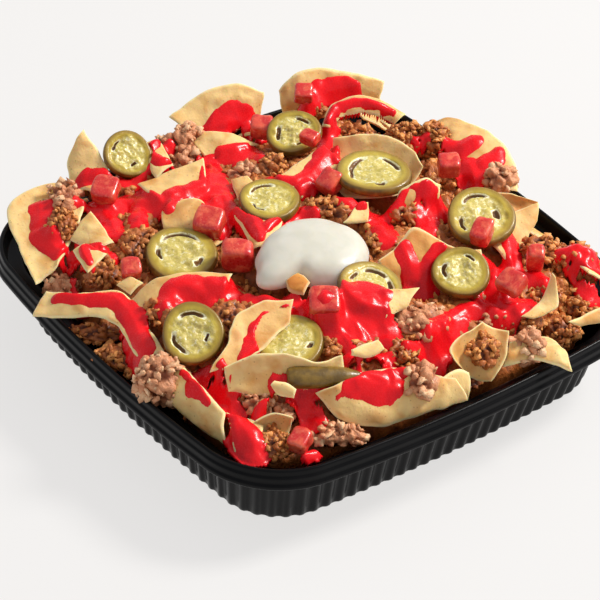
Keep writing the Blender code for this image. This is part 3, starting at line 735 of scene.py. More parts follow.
def slice_axes(tilt, turn):
    """A slice's own right, its direction away from the viewer, and its upward normal."""
    tilt, turn = math.radians(tilt), math.radians(turn)
    normal = math.sin(tilt) * (math.cos(turn) * FRONT + math.sin(turn) * RIGHT) + math.cos(tilt) * UP
    right = unit(RIGHT - (RIGHT @ normal) * normal)
    return right, np.cross(normal, right), normal


def slice_radius(angle, diameter, seed):
    """The outline's radius at an angle: a circle with a slow two-lobed and three-lobed wave."""
    first, second = np.random.default_rng(seed).uniform(0.0, 2.0 * math.pi, 2)
    return 0.5 * diameter * (1.0 + 0.03 * np.cos(2 * angle + first) + 0.02 * np.cos(3 * angle + second))


def hollow_mask(angle, share, hollows):
    """Near 1 inside a hollow. Each is a bell in the angle times a bell in the radius."""
    mask = np.zeros(np.broadcast(angle, share).shape)
    for middle, half_angle, radius, half_share in hollows:
        off = (np.degrees(angle) - middle + 180.0) % 360.0 - 180.0
        across = (share - radius) / (HOLLOW_WIDTH * half_share)
        mask = np.maximum(mask, np.exp(-((off / half_angle) ** 4) - across**4))
    return mask


def slice_surface(middle, diameter, tilt, turn, hollows, seed):
    """Rings from the middle of the top, round the skin, to the middle of the underside. On
    top the height is that of the wall beyond 0.74 of the radius, and the lumpy seed bed's
    within, less 1.7 mm in a hollow. The skin is half a circle in its section."""
    right, away, normal = slice_axes(tilt, turn)
    angle = np.linspace(0.0, 2.0 * math.pi, SLICE_SIDES, endpoint=False)
    share = np.linspace(0.02, SKIN_START, 34)[:, None]
    flat = np.stack(np.broadcast_arrays(share * np.cos(angle), share * np.sin(angle), 0 * share), axis=-1)
    lumps = layered_noise(flat, 0.34, seed, 3)
    wall = 1.0 / (1.0 + np.exp(-(share - 0.74 - 0.03 * np.cos(3 * angle + seed)) / 0.03))
    bed = 0.8 * SLICE_HALF_THICK + 0.8 * lumps
    hollow = hollow_mask(angle, share + 0.05 * lumps, hollows)
    height = wall * SLICE_HALF_THICK * (1.0 + 0.03 * np.cos((share - 0.83) / 0.09)) + (1.0 - wall) * bed
    height = height - HOLLOW_DEPTH * hollow * (1.0 - wall)
    bend = np.linspace(0.0, math.pi, 11)[1:-1, None]
    skin = SKIN_START + (1.0 - SKIN_START) * np.sin(bend) + 0 * angle
    under = np.linspace(SKIN_START, 0.02, 8)[:, None] + 0 * angle
    shares = np.concatenate([share + 0 * angle, skin, under])
    rim_height = SLICE_HALF_THICK * np.cos(bend) + 0 * angle
    heights = np.concatenate([height, rim_height, 0 * under - SLICE_HALF_THICK])
    radius = slice_radius(angle, diameter, seed) * shares
    flat = radius[..., None] * (np.cos(angle)[:, None] * right + np.sin(angle)[:, None] * away)
    points = np.array(middle, float) + flat + heights[..., None] * normal
    points = points + 0.12 * noise(points, 2.2, seed + 20)[..., None] * normal
    hollows_everywhere = np.concatenate([hollow * (1.0 - wall), 0 * skin, 0 * under])
    return points, shares, hollows_everywhere


# %% [markdown]
# The finish changes with the distance from the middle, so the mesh stores that share of the
# radius, and the material reads it back. The wall lets light in, the seed bed is fibrous and
# paler, and the hollows are painted dark brown, as painted shade in the deep pits.

# %% The pickled pepper material


def pepper_material(name, skin, wall, flesh):
    made, shader, place = start_material(name)
    share, hollow = stored(place, "share"), stored(place, "hollow")
    cloudy, fibres = place.noise(4.0, 3.0), place.noise(1.3, 4.0, 1.2)
    share = share + 0.05 * cloudy - 0.025
    seed_bed = blend(fibres.ease(0.35, 0.7), flesh, srgb(218, 200, 124))
    inner_wall = blend(cloudy.ease(0.3, 0.8), wall, srgb(196, 174, 70))
    whole_wall = blend(share.ease(0.76, 0.92), inner_wall, srgb(150, 120, 42))
    walled = blend(share.ease(0.62, 0.76), seed_bed, whole_wall)
    skinned = blend(share.ease(0.93, 0.965), walled, blend(cloudy.ease(0.3, 0.7), skin, srgb(132, 102, 34)))
    clumps = place.noise(1.6, 2.0).ease(0.54, 0.66) * (1.0 - share.ease(0.58, 0.72))
    seeds = hollow.ease(0.02, 0.1) * fibres.ease(0.3, 0.5) + 0.6 * clumps
    seeded = blend(seeds, skinned, srgb(244, 240, 200))
    # Painted shade: the hollows are painted dark brown.
    hollowed = blend(hollow.ease(0.2, 0.5), seeded, srgb(116, 76, 28))
    set_shader(
        shader,
        Base_Color=hollowed,
        Roughness=0.28 + 0.25 * fibres,
        Specular_IOR_Level=0.4,
        Coat_Weight=0.25,
        Coat_Roughness=0.15,
        Subsurface_Weight=0.3,
        Subsurface_Radius=(1.0, 0.9, 0.25),
        Subsurface_Scale=0.003,
        Normal=bump(fibres + 0.5 * cloudy, 0.5, 0.3),
    )
    return made


pickled_green = pepper_material("pickled_pepper", srgb(96, 72, 20), srgb(180, 154, 50), srgb(192, 175, 82))
slice_faces = {}
for seed, (node, (middle, diameter, tilt, turn, hollows)) in enumerate(SLICES.items(), 700):
    points, shares, hollow = slice_surface(middle, diameter, tilt, turn, hollows, seed)
    slice_faces[node] = points[:39]
    rings, count = points.shape[:2]
    points = points.reshape(-1, 3)
    faces = outward(points, tube_faces(rings, count))
    flipped = not (faces[0] == tube_faces(2, count)[0]).all()
    first_cap, last_cap = np.arange(count), np.arange(len(points) - count, len(points))
    caps = [first_cap[::-1], last_cap] if not flipped else [first_cap, last_cap[::-1]]
    values = {"share": shares, "hollow": hollow}
    ring_name = node.replace("pepper_slice", "pepper_ring")
    ring = make_piece(ring_name, points, faces, pickled_green, values, caps=caps)
    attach(ring, "root")
    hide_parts(node)
print(len(SLICES), "pepper rings")

# %% The pepper's end: rings round its axis, wide at the cut and drawn in to the tip

END_FROM, END_TO, END_THICK = np.array([66.0, -61.0, 50.0]), np.array([80.0, -37.0, 50.0]), 9.5
END_PROFILE = [(-0.03, 0.1), (-0.03, 0.7), (-0.01, 0.9), (0.06, 1.0), (0.4, 1.0), (0.7, 0.84), (0.92, 0.45),
               (0.99, 0.2),
               (1.0, 0.03)]
axis = unit(END_TO - END_FROM)
sideways = unit(np.cross(axis, UP))
length = np.linalg.norm(END_TO - END_FROM)
end_profile = curve_through(np.array([(share, width, 0.0) for share, width in END_PROFILE]), 40)
angle = np.linspace(0.0, 2.0 * math.pi, 48, endpoint=False)
section = np.cos(angle)[:, None] * sideways + 0.8 * np.sin(angle)[:, None] * UP
end_points = END_FROM + end_profile[:, :1, None] * length * axis
end_points = end_points + 0.5 * END_THICK * end_profile[:, 1:2, None] * section
end_points += 0.35 * noise(end_points, 6.0, 760)[..., None] * unit(section + 1e-9)
end_points = end_points.reshape(-1, 3)
end_faces = outward(end_points, tube_faces(40, 48))
flipped = not (end_faces[0] == tube_faces(2, 48)[0]).all()
first_cap, last_cap = np.arange(48), np.arange(len(end_points) - 48, len(end_points))
caps = [first_cap[::-1], last_cap] if not flipped else [first_cap, last_cap[::-1]]
values = {"share": np.ones(len(end_points)), "hollow": np.zeros(len(end_points))}
pepper_tip = make_piece("pepper_tip", end_points, end_faces, pickled_green, values, caps=caps)
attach(pepper_tip, "root")
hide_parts("pepper_end")
print("pepper tip:", round(float(length)), "mm long")

# %% [markdown]
# ## Tomato dice
#
# A die of tomato is a cube with soft edges, never a sharp one. A cube with a Bevel would do,
# but a superellipsoid is one formula: a sphere's direction, divided by its own length in a
# higher power than 2, fills out towards a cube.

# %% The dice

TOMATOES = (
    ((-47, 32, 63), (8, 6, 5), 20),
    ((-83, 56, 57), (8, 8, 6), 50),
    ((43, 52, 60), (8, 11, 8), 30),
    ((-23, -74, 53), (8, 8, 6), 65),
    ((-3, -36, 56), (13, 9, 12), 52),
    ((-73, -53, 54), (11, 12, 7), 40),
    ((-27, -33, 57), (12, 12, 9), 35),
    ((-19, 22, 60), (9, 10, 8), 15),
    ((-2, 71, 60), (9, 9, 8), 60),
    ((87, -71, 38), (8, 9, 7), 25),
    ((45, -29, 60), (12, 12, 7), 55),
    ((73, 43, 57), (10, 10, 7), 10),
    ((-74, 27, 55), (9, 9, 8), 45),
    ((63, 64, 54), (7, 7, 12), 52),
)
DIE_RINGS, DIE_SIDES = 26, 40


def sphere_directions(rings, sides):
    """Directions over a sphere, ring by ring from near the top to near the bottom."""
    down = np.linspace(0.03, math.pi - 0.03, rings)[:, None]
    around = np.linspace(0.0, 2.0 * math.pi, sides, endpoint=False)
    cos, sin = np.cos(around), np.sin(around)
    return np.stack(np.broadcast_arrays(np.sin(down) * cos, np.sin(down) * sin, np.cos(down)), axis=-1)


def soft_box(directions, size, power=6.0):
    """Points of a box with round edges: each direction over its length in that power."""
    length = (np.abs(directions) ** power).sum(axis=-1, keepdims=True) ** (1.0 / power)
    return directions / length * np.array(size) / 2


def spin_and_lean(turn, lean):
    """The matrix that leans about X and then turns about Z, both in degrees."""
    turn, lean = math.radians(turn), math.radians(lean)
    spin = np.array([[math.cos(turn), -math.sin(turn), 0], [math.sin(turn), math.cos(turn), 0], [0, 0, 1]])
    tip = np.array([[1, 0, 0], [0, math.cos(lean), -math.sin(lean)], [0, math.sin(lean), math.cos(lean)]])
    return spin @ tip


tomato_flesh, shader, place = start_material("tomato_flesh")
marbled, fine = place.noise(4.5, 3.0, 0.8), place.noise(0.9, 3.0)
reds = blend(marbled.ease(0.4, 0.7), srgb(204, 40, 36), srgb(230, 100, 70))
set_shader(
    shader,
    Base_Color=blend(fine.ease(0.55, 0.75) * 0.4, reds, srgb(240, 150, 120)),
    Roughness=0.2 + 0.2 * fine,
    Specular_IOR_Level=0.5,
    Coat_Weight=0.3,
    Coat_Roughness=0.1,
    Subsurface_Weight=0.3,
    Subsurface_Radius=(1.0, 0.2, 0.1),
    Subsurface_Scale=0.003,
    Normal=bump(fine + marbled, 0.4, 0.25),
)
directions = sphere_directions(DIE_RINGS, DIE_SIDES)
tomato_tops = []
for index, (middle, size, turn) in enumerate(TOMATOES):
    points = soft_box(directions, size)
    points = points * (1.0 + 0.07 * noise(directions, 0.7, 800 + index)[..., None])
    points = points @ spin_and_lean(turn, 12.0 + 5.0 * (index % 4)).T + middle
    points = (points + 0.12 * noise(points, 1.4, 830 + index)[..., None] * directions).reshape(-1, 3)
    tomato_tops.append(points)
    faces = outward(points, tube_faces(DIE_RINGS, DIE_SIDES))
    flipped = not (faces[0] == tube_faces(2, DIE_SIDES)[0]).all()
    first_cap, last_cap = np.arange(DIE_SIDES), np.arange(len(points) - DIE_SIDES, len(points))
    caps = [first_cap[::-1], last_cap] if not flipped else [first_cap, last_cap[::-1]]
    die = make_piece(f"tomato_die_{index + 1:02d}", points, faces, tomato_flesh, caps=caps)
    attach(die, "root")
    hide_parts(f"tomato_{index + 1:02d}")
print(len(TOMATOES), "tomato dice")

# %% [markdown]
# ## Soured cream
#
# A spoonful slumps into a low dome with a flat top, and flows out in lobes where nothing holds
# it. Its outline is an oval pushed out or in by bells in the angle, and a smooth profile lifts
# it from its foot to its top.

# %% The spoon of cream

CREAM_FOOT = np.array([15.0, -12.0, 54.0])
CREAM_HALF = (22.0, 20.0)
CREAM_HEIGHT = 13.3
CREAM_LOBES = (
    (129, 0.47, 15),
    (158, 0.1, 16),
    (106, -0.16, 11),
    (48, 0.08, 24),
    (212, -0.13, 26),
    (270, -0.08, 30),
    (335, 0.04, 25),
)
CREAM_PROFILE = [(0.80, 0.0), (0.93, 0.05), (0.99, 0.17), (1.0, 0.3), (0.97, 0.45), (0.91, 0.62),
                 (0.80, 0.77),
                 (0.64, 0.88), (0.42, 0.95), (0.2, 0.985), (0.02, 1.0)]
CREAM_SIDES = 180

angle = np.linspace(0.0, 2.0 * math.pi, CREAM_SIDES, endpoint=False)
reach = np.ones(CREAM_SIDES)
for lobe, share, width in CREAM_LOBES:
    off = (np.degrees(angle) - lobe + 180.0) % 360.0 - 180.0
    reach += share * np.exp(-((off / width) ** 2))
cream_profile = curve_through(np.array([(share, height, 0.0) for share, height in CREAM_PROFILE]), 64)
around = CREAM_HALF[0] * np.outer(np.cos(angle), RIGHT) + CREAM_HALF[1] * np.outer(np.sin(angle), FRONT)
# Towards the middle the lobes fade, so that the top stays a smooth oval.
spread = 1.0 + (reach - 1.0) * np.clip(cream_profile[:, :1] * 2.4 - 1.4, 0.0, 1.0)
cream_points = CREAM_FOOT + cream_profile[:, :1, None] * spread[..., None] * around
cream_points = cream_points + (cream_profile[:, 1] * CREAM_HEIGHT)[:, None, None] * UP
swell = noise(cream_points * [1.0, 1.0, 0.4], 11.0, 900) + 0.4 * noise(cream_points, 5.0, 901)
cream_points = cream_points + 0.55 * swell[..., None] * unit(cream_points - CREAM_FOOT + 4.0 * UP)

soured_white, shader, place = start_material("soured_white")
folds = place.noise(7.0, 2.0, 0.5)
set_shader(
    shader,
    Base_Color=blend(folds.ease(0.3, 0.7), srgb(200, 198, 184), srgb(207, 204, 191)),
    Roughness=0.28 + 0.12 * folds,
    Specular_IOR_Level=0.5,
    Subsurface_Weight=0.8,
    Subsurface_Radius=(1.0, 0.8, 0.55),
    Subsurface_Scale=0.008,
    # Painted light: a faint warm glow that lifts the cream's shaded sides.
    Emission_Color=srgb(255, 236, 210),
    Emission_Strength=0.06,
    Normal=bump(folds, 0.3, 0.4),
)
points = cream_points.reshape(-1, 3)
faces = outward(points, tube_faces(len(cream_profile), CREAM_SIDES))
flipped = not (faces[0] == tube_faces(2, CREAM_SIDES)[0]).all()
first_cap, last_cap = np.arange(CREAM_SIDES), np.arange(len(points) - CREAM_SIDES, len(points))
caps = [first_cap[::-1], last_cap] if not flipped else [first_cap, last_cap[::-1]]
cream = make_piece("cream_spoonful", points, faces, soured_white, caps=caps)
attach(cream, "root")
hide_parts("soured_cream")
print("cream:", points.min(axis=0).round(), "to", points.max(axis=0).round())

# %% [markdown]
# ## The heap's core
#
# Under the chips the heap is mince, beans and broken chips, and only its outside is ever seen.
# So it stays one solid body, as in the frame, with its surface made of packed lumps. Mince is
# finer than rice, so a whole heap of separate crumbs would be far too heavy. Packed lumps are
# cheap: a lattice with one round lump in each cell, and the highest lump wins at each place.

# %% Packed lumps


def packed_lumps(x, y, size, seed):
    """The height, as a share of the size, of round lumps packed over the plane. Each cell of
    a lattice holds one lump with its own place, radius and rise; a lump stands up as the top
    of a ball does, and the highest of the nine lumps nearby counts."""
    x, y = np.asarray(x) / size, np.asarray(y) / size
    table = np.random.default_rng(seed).uniform(0.0, 1.0, (4, 64, 64))
    i, j = np.floor(x).astype(int), np.floor(y).astype(int)
    best = np.zeros(np.broadcast(x, y).shape)
    for across, along in itertools.product((-1, 0, 1), repeat=2):
        shift_x, shift_y, radius, rise = table[:, (i + across) % 64, (j + along) % 64]
        off = (x - i - across - shift_x) ** 2 + (y - j - along - shift_y) ** 2
        radius = 0.5 + 0.4 * radius
        ball = np.sqrt(np.clip(radius**2 - off, 0.0, None)) - 0.25 + 0.3 * rise
        best = np.maximum(best, np.where(off < radius**2, ball, 0.0))
    return best


def mince_relief(x, y, seed):
    """Mince's surface in mm: lumps of 3.6 mm and of 2 mm on top of each other, over a slow swell."""
    large = 3.4 * packed_lumps(x, y, 3.8, seed)
    small = 1.7 * packed_lumps(x + 0.3 * large, y, 2.1, seed + 1)
    return large + small


# %% The core's body: a rounded square of points, a steep side and a flat foot

CORE_HALF, CORE_FOOT = 88.5, 2.0
CORE_COUNT = 186
CORE_LOWERED = 3.4

line = np.linspace(-1.0, 1.0, CORE_COUNT)
u, v = np.meshgrid(line, line, indexing="ij")
core_x, core_y = (CORE_HALF * part * (1.0 - 0.1 * u**4 * v**4) for part in (u, v))
soft_heap = smoothed(np.maximum(heap_top, 20.0), 1.6)
relief = mince_relief(core_x, core_y, 300)
core_z = read_map(soft_heap, core_x, core_y) - CORE_LOWERED + relief
core_grid = np.stack([core_x, core_y, core_z], axis=-1)
index = np.arange(CORE_COUNT**2).reshape(CORE_COUNT, CORE_COUNT)
rim = np.concatenate([index[0], index[1:, -1], index[-1, -2::-1], index[-2:0:-1, 0]])
rim_points = core_grid.reshape(-1, 3)[rim]
levels = []
for down in np.linspace(0.12, 1.0, 8):
    ring = rim_points * [1.0 - 0.05 * down, 1.0 - 0.05 * down, 1.0 - down]
    levels.append(ring + [0.0, 0.0, down * CORE_FOOT])
core_points = np.concatenate([core_grid.reshape(-1, 3), *levels])
below = CORE_COUNT**2 + np.arange(8 * len(rim)).reshape(8, len(rim))
loops = np.concatenate([rim[None], below])
turned = np.roll(loops, -1, axis=1)
sides = np.stack([loops[1:], turned[1:], turned[:-1], loops[:-1]], axis=-1)
core_faces = np.concatenate([grid_faces(CORE_COUNT, CORE_COUNT), sides.reshape(-1, 4)])
print("core:", len(core_points), "points")

# %% [markdown]
# Cooked mince is brown, and mashed beans are pinker, paler and softer. Both use one net of nodes
# with their own colours: the mesh stores how deep in a gap each point is, and each crumb's own
# tone. Gaps and the undersides of crumbs are painted dark, as painted shade.

# %% Mince and bean materials


def cooked_material(name, gap, middle, light, size, wet):
    made, shader, place = start_material(name)
    depth, tone = stored(place, "depth"), stored(place, "tone")
    cloudy, fine = place.noise(size, 4.0, 0.6), place.noise(0.8, 3.0, 0.4)
    body = blend((0.6 * cloudy + 0.25 * fine + 0.5 * tone).ease(0.45, 0.85), middle, light)
    set_shader(
        shader,
        # Painted shade: the deeper a point lies in a gap, the nearer it is to the dark gap colour.
        Base_Color=blend(depth.ease(0.1, 1.0), body, gap),
        Roughness=0.42 + 0.25 * fine,
        Specular_IOR_Level=0.4,
        Coat_Weight=wet,
        Coat_Roughness=0.25,
        Subsurface_Weight=0.12,
        Subsurface_Radius=(1.0, 0.5, 0.3),
        Subsurface_Scale=0.002,
        Normal=bump(fine + 0.8 * cloudy, 0.9, 0.55),
    )
    return made


# Each food's colours: painted shade in the gaps, the middle and the lightest.
MINCE_COLOURS = (srgb(92, 38, 12), srgb(178, 98, 40), srgb(230, 154, 80))
BEAN_COLOURS = (srgb(150, 80, 46), srgb(216, 148, 104), srgb(240, 192, 146))
cooked_mince = cooked_material("cooked_mince", *MINCE_COLOURS, 2.2, 0.2)
mashed_beans = cooked_material("mashed_beans", *BEAN_COLOURS, 3.5, 0.15)
core_values = {"depth": np.zeros(len(core_points)), "tone": np.zeros(len(core_points))}
# Painted shade: the lower a point lies among the lumps, the darker it is painted.
core_values["depth"][: relief.size] = np.clip(1.0 - relief.ravel() / 2.2, 0.0, 1.0)

foot = [below[-1][::-1]]
core = make_piece("mince_and_beans", core_points, core_faces, cooked_mince, core_values, caps=foot)
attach(core, "root")
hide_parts("heap")

# %% [markdown]
# ## The ground and the ceiling
#
# Two maps say where loose food may be. The ground is the highest of the core and the chips.
# The ceiling is the lowest underside of what lies on top of the food: the slices and the
# cream. A few millimetres may separate them, and the food fills just that.

# %% The ground and the ceiling


def denser(grid, times=3):
    """A grid of points with that many times as many rows and columns, each new one on the
    straight line between two old ones."""
    for axis in (0, 1):
        wanted = np.linspace(0.0, grid.shape[axis] - 1.001, times * grid.shape[axis])
        low = wanted.astype(int)
        part = np.expand_dims(wanted - low, (1 - axis, 2))
        grid = (1.0 - part) * np.take(grid, low, axis) + part * np.take(grid, low + 1, axis)
    return grid


def disc_heights(middle, diameter, tilt, turn, lift):
    """Where a slice covers the map, and the height there of its middle plane plus the lift.
    A map point is under the slice if the point of the plane above it is within the radius."""
    normal = slice_axes(tilt, turn)[2]
    across, along = map_x - middle[0], map_y - middle[1]
    rise = -(normal[0] * across + normal[1] * along) / normal[2]
    inside = across**2 + along**2 + rise**2 < (0.5 * diameter) ** 2
    return inside, middle[2] + rise + lift / normal[2]


UNDER_SLICE = 2.3
HEAP_FOOT = 32.0

core_map = raised(np.full((MAP_COUNT, MAP_COUNT), HEAP_FOOT), denser(core_grid, 2))
bed = core_map
for top in chip_tops.values():
    bed = raised(bed, denser(top))
ceiling = np.full(bed.shape, 200.0)
# One slice lies under the sauce, so it belongs to the ground and not to the ceiling.
SAUCED_SLICE = "pepper_slice_08"
for node, (middle, diameter, tilt, turn, _) in SLICES.items():
    if node == SAUCED_SLICE:
        continue
    inside, height = disc_heights(middle, diameter, tilt, turn, -UNDER_SLICE)
    ceiling = np.where(inside, np.minimum(ceiling, height), ceiling)
from_cream = [map_x - CREAM_FOOT[0], map_y - CREAM_FOOT[1]]
cream_share = np.hypot(
    (from_cream[0] * RIGHT[0] + from_cream[1] * RIGHT[1]) / CREAM_HALF[0],
    (from_cream[0] * FRONT[0] + from_cream[1] * FRONT[1]) / CREAM_HALF[1],
)
ceiling = np.where(cream_share < 0.95, np.minimum(ceiling, CREAM_FOOT[2]), ceiling)
under_chips = ceiling.copy()
for bottom in chip_bottoms.values():
    under_chips = raised(under_chips, denser(bottom) - [0.0, 0.0, 0.3], lowest=True)

# %% [markdown]
# ## Red sauce
#
# The sauce was poured in ribbons that ran together and ran down. A curve with a bevel would
# make a pipe that floats over the bumps. Instead every ribbon is a line of places with a
# width, and one film will follow the map. The ribbons come first, since loose crumbs lie
# only where there is no sauce.

# %% The ribbons: x, y and half width in mm along each

RIBBONS = (
    ((-83, -79, 4.2), (-79, -81, 4.4), (-75, -84, 3.8)),
    ((-71, -88, 3.4), (-65, -87, 4.2), (-57, -86, 3.5), (-54, -82, 2.8), (-47, -82, 3), (-38, -87, 4)),
    ((-31, -104, 2.4), (-27, -99, 3), (-21, -92, 3.6), (-15, -87, 3.8), (-6, -87, 4.2), (3, -89, 4.6),
     (11, -92, 4.6), (17, -94, 4)),
    ((-91, -55, 2.5), (-90, -51, 3.4), (-86, -45, 3), (-82, -39, 3.6), (-80, -33, 3.4), (-80, -29, 2.2)),
    ((-73, -57, 4), (-67, -54, 5), (-70, -45, 4.5), (-60, -43, 4.5), (-54, -40, 3.6)),
    ((-67, -58, 4.5), (-57, -61, 4), (-49, -63, 3)),
    ((-57, -47, 4), (-50, -52, 4)),
    ((-75, -65, 2.5), (-73, -62, 2.5), (-69, -59, 2.5)),
    ((-53, -81, 3), (-46, -80, 4.3), (-42, -75, 3.6), (-39, -73, 3)),
    ((-85, -24, 2.6), (-88, -17, 2.8), (-88, -11, 2.2)),
    ((-83, -24, 2.4), (-77, -23, 3), (-75, -19, 2.4)),
    ((-92, 12, 3), (-91, 18, 5), (-89, 24, 6), (-87, 30, 4.5), (-80, 30, 3)),
    ((-72, 5, 3), (-69, 10, 4), (-67, 16, 4.5), (-60, 16, 3.2)),
    ((-47, -40, 3), (-53, -33, 4.5), (-52, -25, 4.3), (-50, -19, 4)),
    ((-72, -1, 4.2), (-61, -7, 4.2), (-49, -15, 6), (-39, -22, 6), (-28, -30, 5)),
    ((-43, -15, 3), (-28, -20, 3)),
    ((-26, -19, 2.8), (-17, -19, 3.8), (-9, -22, 3.2), (-4, -24, 2.2)),
    ((-9, -17, 3.6), (-10, -8, 3.6), (-13, 2, 4), (-8, 5, 3)),
    ((-59, 54, 3), (-57, 50, 3.7), (-52, 46, 3.7), (-39, 34, 4.2), (-33, 29, 5), (-29, 20, 4), (-29, 12, 3),
     (-33, 7, 2.6), (-40, 6, 2.4)),
    ((-26, 16, 3.4), (-25, 11, 2.6)),
    ((-38, 39, 2), (-30, 33, 2.5)),
    ((-59, 57, 2.6), (-57, 62, 2.4), (-53, 67, 2.4), (-48, 72, 2.4), (-45, 75, 2)),
    ((-79, 55, 3), (-82, 64, 4), (-79, 69, 4.4), (-77, 75, 4), (-75, 77, 3)),
    ((-15, 84, 4), (-12, 87, 4.6), (-11, 92, 4)),
    ((0, 97, 3), (2, 92, 4.6), (1, 87, 4.6)),
    ((-3, 83, 4.5), (3, 81, 4.5), (8, 77, 3.4)),
    ((9, 50, 4.5), (12, 48, 4.5), (17, 45, 4.8), (23, 41, 3.6)),
    ((13, 55, 3), (17, 54, 2.5)),
    ((3, 43, 2), (6, 46, 2.4)),
    ((-7, 20, 3.6), (-2, 24, 4), (1, 28, 5), (8, 26, 4.4), (17, 22, 5), (22, 20, 3.8)),
    ((5, 40, 3), (6, 36, 3.2), (5, 32, 3)),
    ((-26, 73, 2), (-25, 77, 2.2)),
    ((39, 67, 2.8), (44, 66, 3), (50, 63, 3.2), (58, 57, 3.6)),
    ((49, 50, 3.4), (54, 50, 4.5), (65, 43, 4.8), (76, 40, 5), (78, 43, 4)),
    ((63, 59, 3.2), (67, 61, 4), (73, 62, 3)),
    ((68, 32, 3.4), (76, 34, 4), (79, 40, 4), (77, 50, 3.4)),
    ((45, 24, 3.6), (44, 28, 3), (43, 35, 1.8), (45, 43, 1.6)),
    ((35, 17, 3.6), (40, 17, 4.2), (43, 16, 4), (46, 17, 3.6)),
    ((45, 25, 3.6), (47, 21, 4.2), (48, 19, 3.4)),
    ((69, 29, 3.6), (68, 24, 3.8), (70, 17, 4)),
    ((71, 21, 3), (72, 14, 4.3), (75, 7, 5), (76, 2, 4.5), (80, 2, 4), (86, 0, 2.6)),
    ((74, -10, 2), (76, -6, 3)),
    ((64, 78, 3), (66, 80, 3.4)),
    ((70, 78, 3), (74, 81, 4.2), (77, 84, 4.4), (79, 86, 3)),
    ((67, 82, 3.6), (71, 85, 4.2), (74, 88, 4)),
    ((79, 77, 3), (83, 80, 3.6), (84, 84, 3)),
    ((45, -35, 5), (48, -29, 6.5), (49, -20, 6.5), (52, -15, 7), (54, -12, 6.5)),
    ((40, -32, 5), (44, -25, 7), (49, -15, 7), (52, -8, 6)),
    ((48, -32, 6), (54, -24, 8), (57, -15, 7)),
    ((51, -29, 5), (54, -29, 4), (59, -29, 3), (63, -30, 2.4)),
    ((53, -19, 4.5), (57, -15, 5.5), (60, -12, 4.5), (65, -12, 4), (67, -15, 3)),
    ((56, -22, 3.2), (61, -22, 3)),
    ((16, -47, 2.4), (22, -43, 3), (28, -38, 2.7), (34, -36, 3.7), (45, -41, 5.2)),
    ((24, -35, 2.4), (24, -31, 2.6)),
    ((5, -76, 4), (2, -69, 6.5), (5, -64, 7), (9, -61, 5.5)),
    ((8, -58, 4.5), (11, -52, 4.6), (12, -48, 3.6)),
    ((8, -46, 3), (6, -42, 3)),
    ((39, -52, 3.8), (42, -56, 5.4), (46, -61, 5.2), (49, -69, 3.4)),
    ((39, -88, 3.2), (37, -81, 4.3), (46, -80, 4), (52, -82, 3.2)),
    ((44, -90, 3), (48, -89, 3.8), (52, -87, 4.2), (55, -84, 3.6), (62, -86, 3.4)),
    ((57, -82, 3.6), (68, -86, 4.6), (73, -86, 5.2), (78, -86, 5), (80, -87, 3.4)),
    ((67, -77, 1.8), (66, -72, 1.4)),
    ((72, -62, 3.5), (74, -58, 4.7), (81, -59, 3.4)),
    ((92, -72, 1.5), (92, -67, 2)),
    ((72, -59, 2.6), (75, -53, 3), (80, -46, 3), (83, -39, 3.6), (86, -35, 4.6), (89, -31, 3.6),
     (91, -28, 2.4)),
    ((68, -33, 3), (73, -36, 3), (80, -37, 3.6), (87, -31, 4)),
    ((72, -24, 2.6), (74, -20, 3), (82, -24, 3.4), (86, -22, 2.6)),
    ((63, -66, 2), (66, -62, 1.8)),
    ((84, -26, 3), (88, -27, 3.2), (90, -29, 2.4)),
    ((62, 34, 2.6), (58, 38, 3), (55, 44, 3)),
    ((70, -60, 2), (74, -56, 2.4), (79, -49, 2.8)),
    ((4, 18, 2.4), (7, 25, 3), (5, 32, 3)),
    ((40, -44, 3), (46, -39, 3.6)),
)

# %% How far into a ribbon each place is


def ribbon_share(x, y, ribbons):
    """1 along the middle of a ribbon, 0 at its edge and below 0 outside: 1 minus the distance
    to the nearest straight piece over the width there. The largest value wins."""
    best = np.full(x.shape, -3.0)
    for ribbon in ribbons:
        for (x0, y0, half0), (x1, y1, half1) in itertools.pairwise(ribbon):
            along = ((x - x0) * (x1 - x0) + (y - y0) * (y1 - y0)) / ((x1 - x0) ** 2 + (y1 - y0) ** 2)
            along = np.clip(along, 0.0, 1.0)
            distance = np.hypot(x - x0 - along * (x1 - x0), y - y0 - along * (y1 - y0))
            best = np.maximum(best, 1.0 - distance / (half0 + along * (half1 - half0)))
    return best



# %% [markdown]
# ## Mounds of mince and beans
#
# Spoonfuls of mince and of mashed beans lie on the chips. One height for each place of the map
# would stretch into a curtain at a chip's edge, so a mound is a closed body: an ellipsoid
# whose surface is pushed out by lumps packed in space, not over the plane.

# %% Where the mounds lie: x, y, half their size to the right and to the front, rise over the ground

MINCE_MOUNDS = (
    (-69, -77, 6, 9, 5), (-38, -59, 9, 11, 5), (-35, -80, 7, 8, 5), (4, -75, 8, 9, 5), (23, -59, 7, 10, 4),
    (-48, 14, 6, 8, 5), (-47, 58, 7, 8, 5), (-33, 74, 11, 9, 16), (-26, 83, 7, 8, 13), (-14, 72, 5, 10, 6),
    (-3, 77, 6, 6, 5), (-7, 14, 11, 7, 4), (16, 19, 4, 9, 4), (10, 39, 6, 5, 3), (55, 76, 10, 9, 9),
    (68, 83, 9, 8, 13), (72, 62, 6, 6, 5), (80, 74, 8, 8, 7), (79, 42, 11, 5, 5), (88, 59, 7, 8, 6),
    (90, 15, 6, 8, 5), (73, -11, 7, 8, 5), (58, -35, 5, 5, 4), (-81, 59, 6, 4, 4), (-84, -42, 9, 8, 6),
    (-4, 30, 8, 6, 5), (-84, -30, 8, 8, 7), (-77, -38, 6, 6, 5),
)
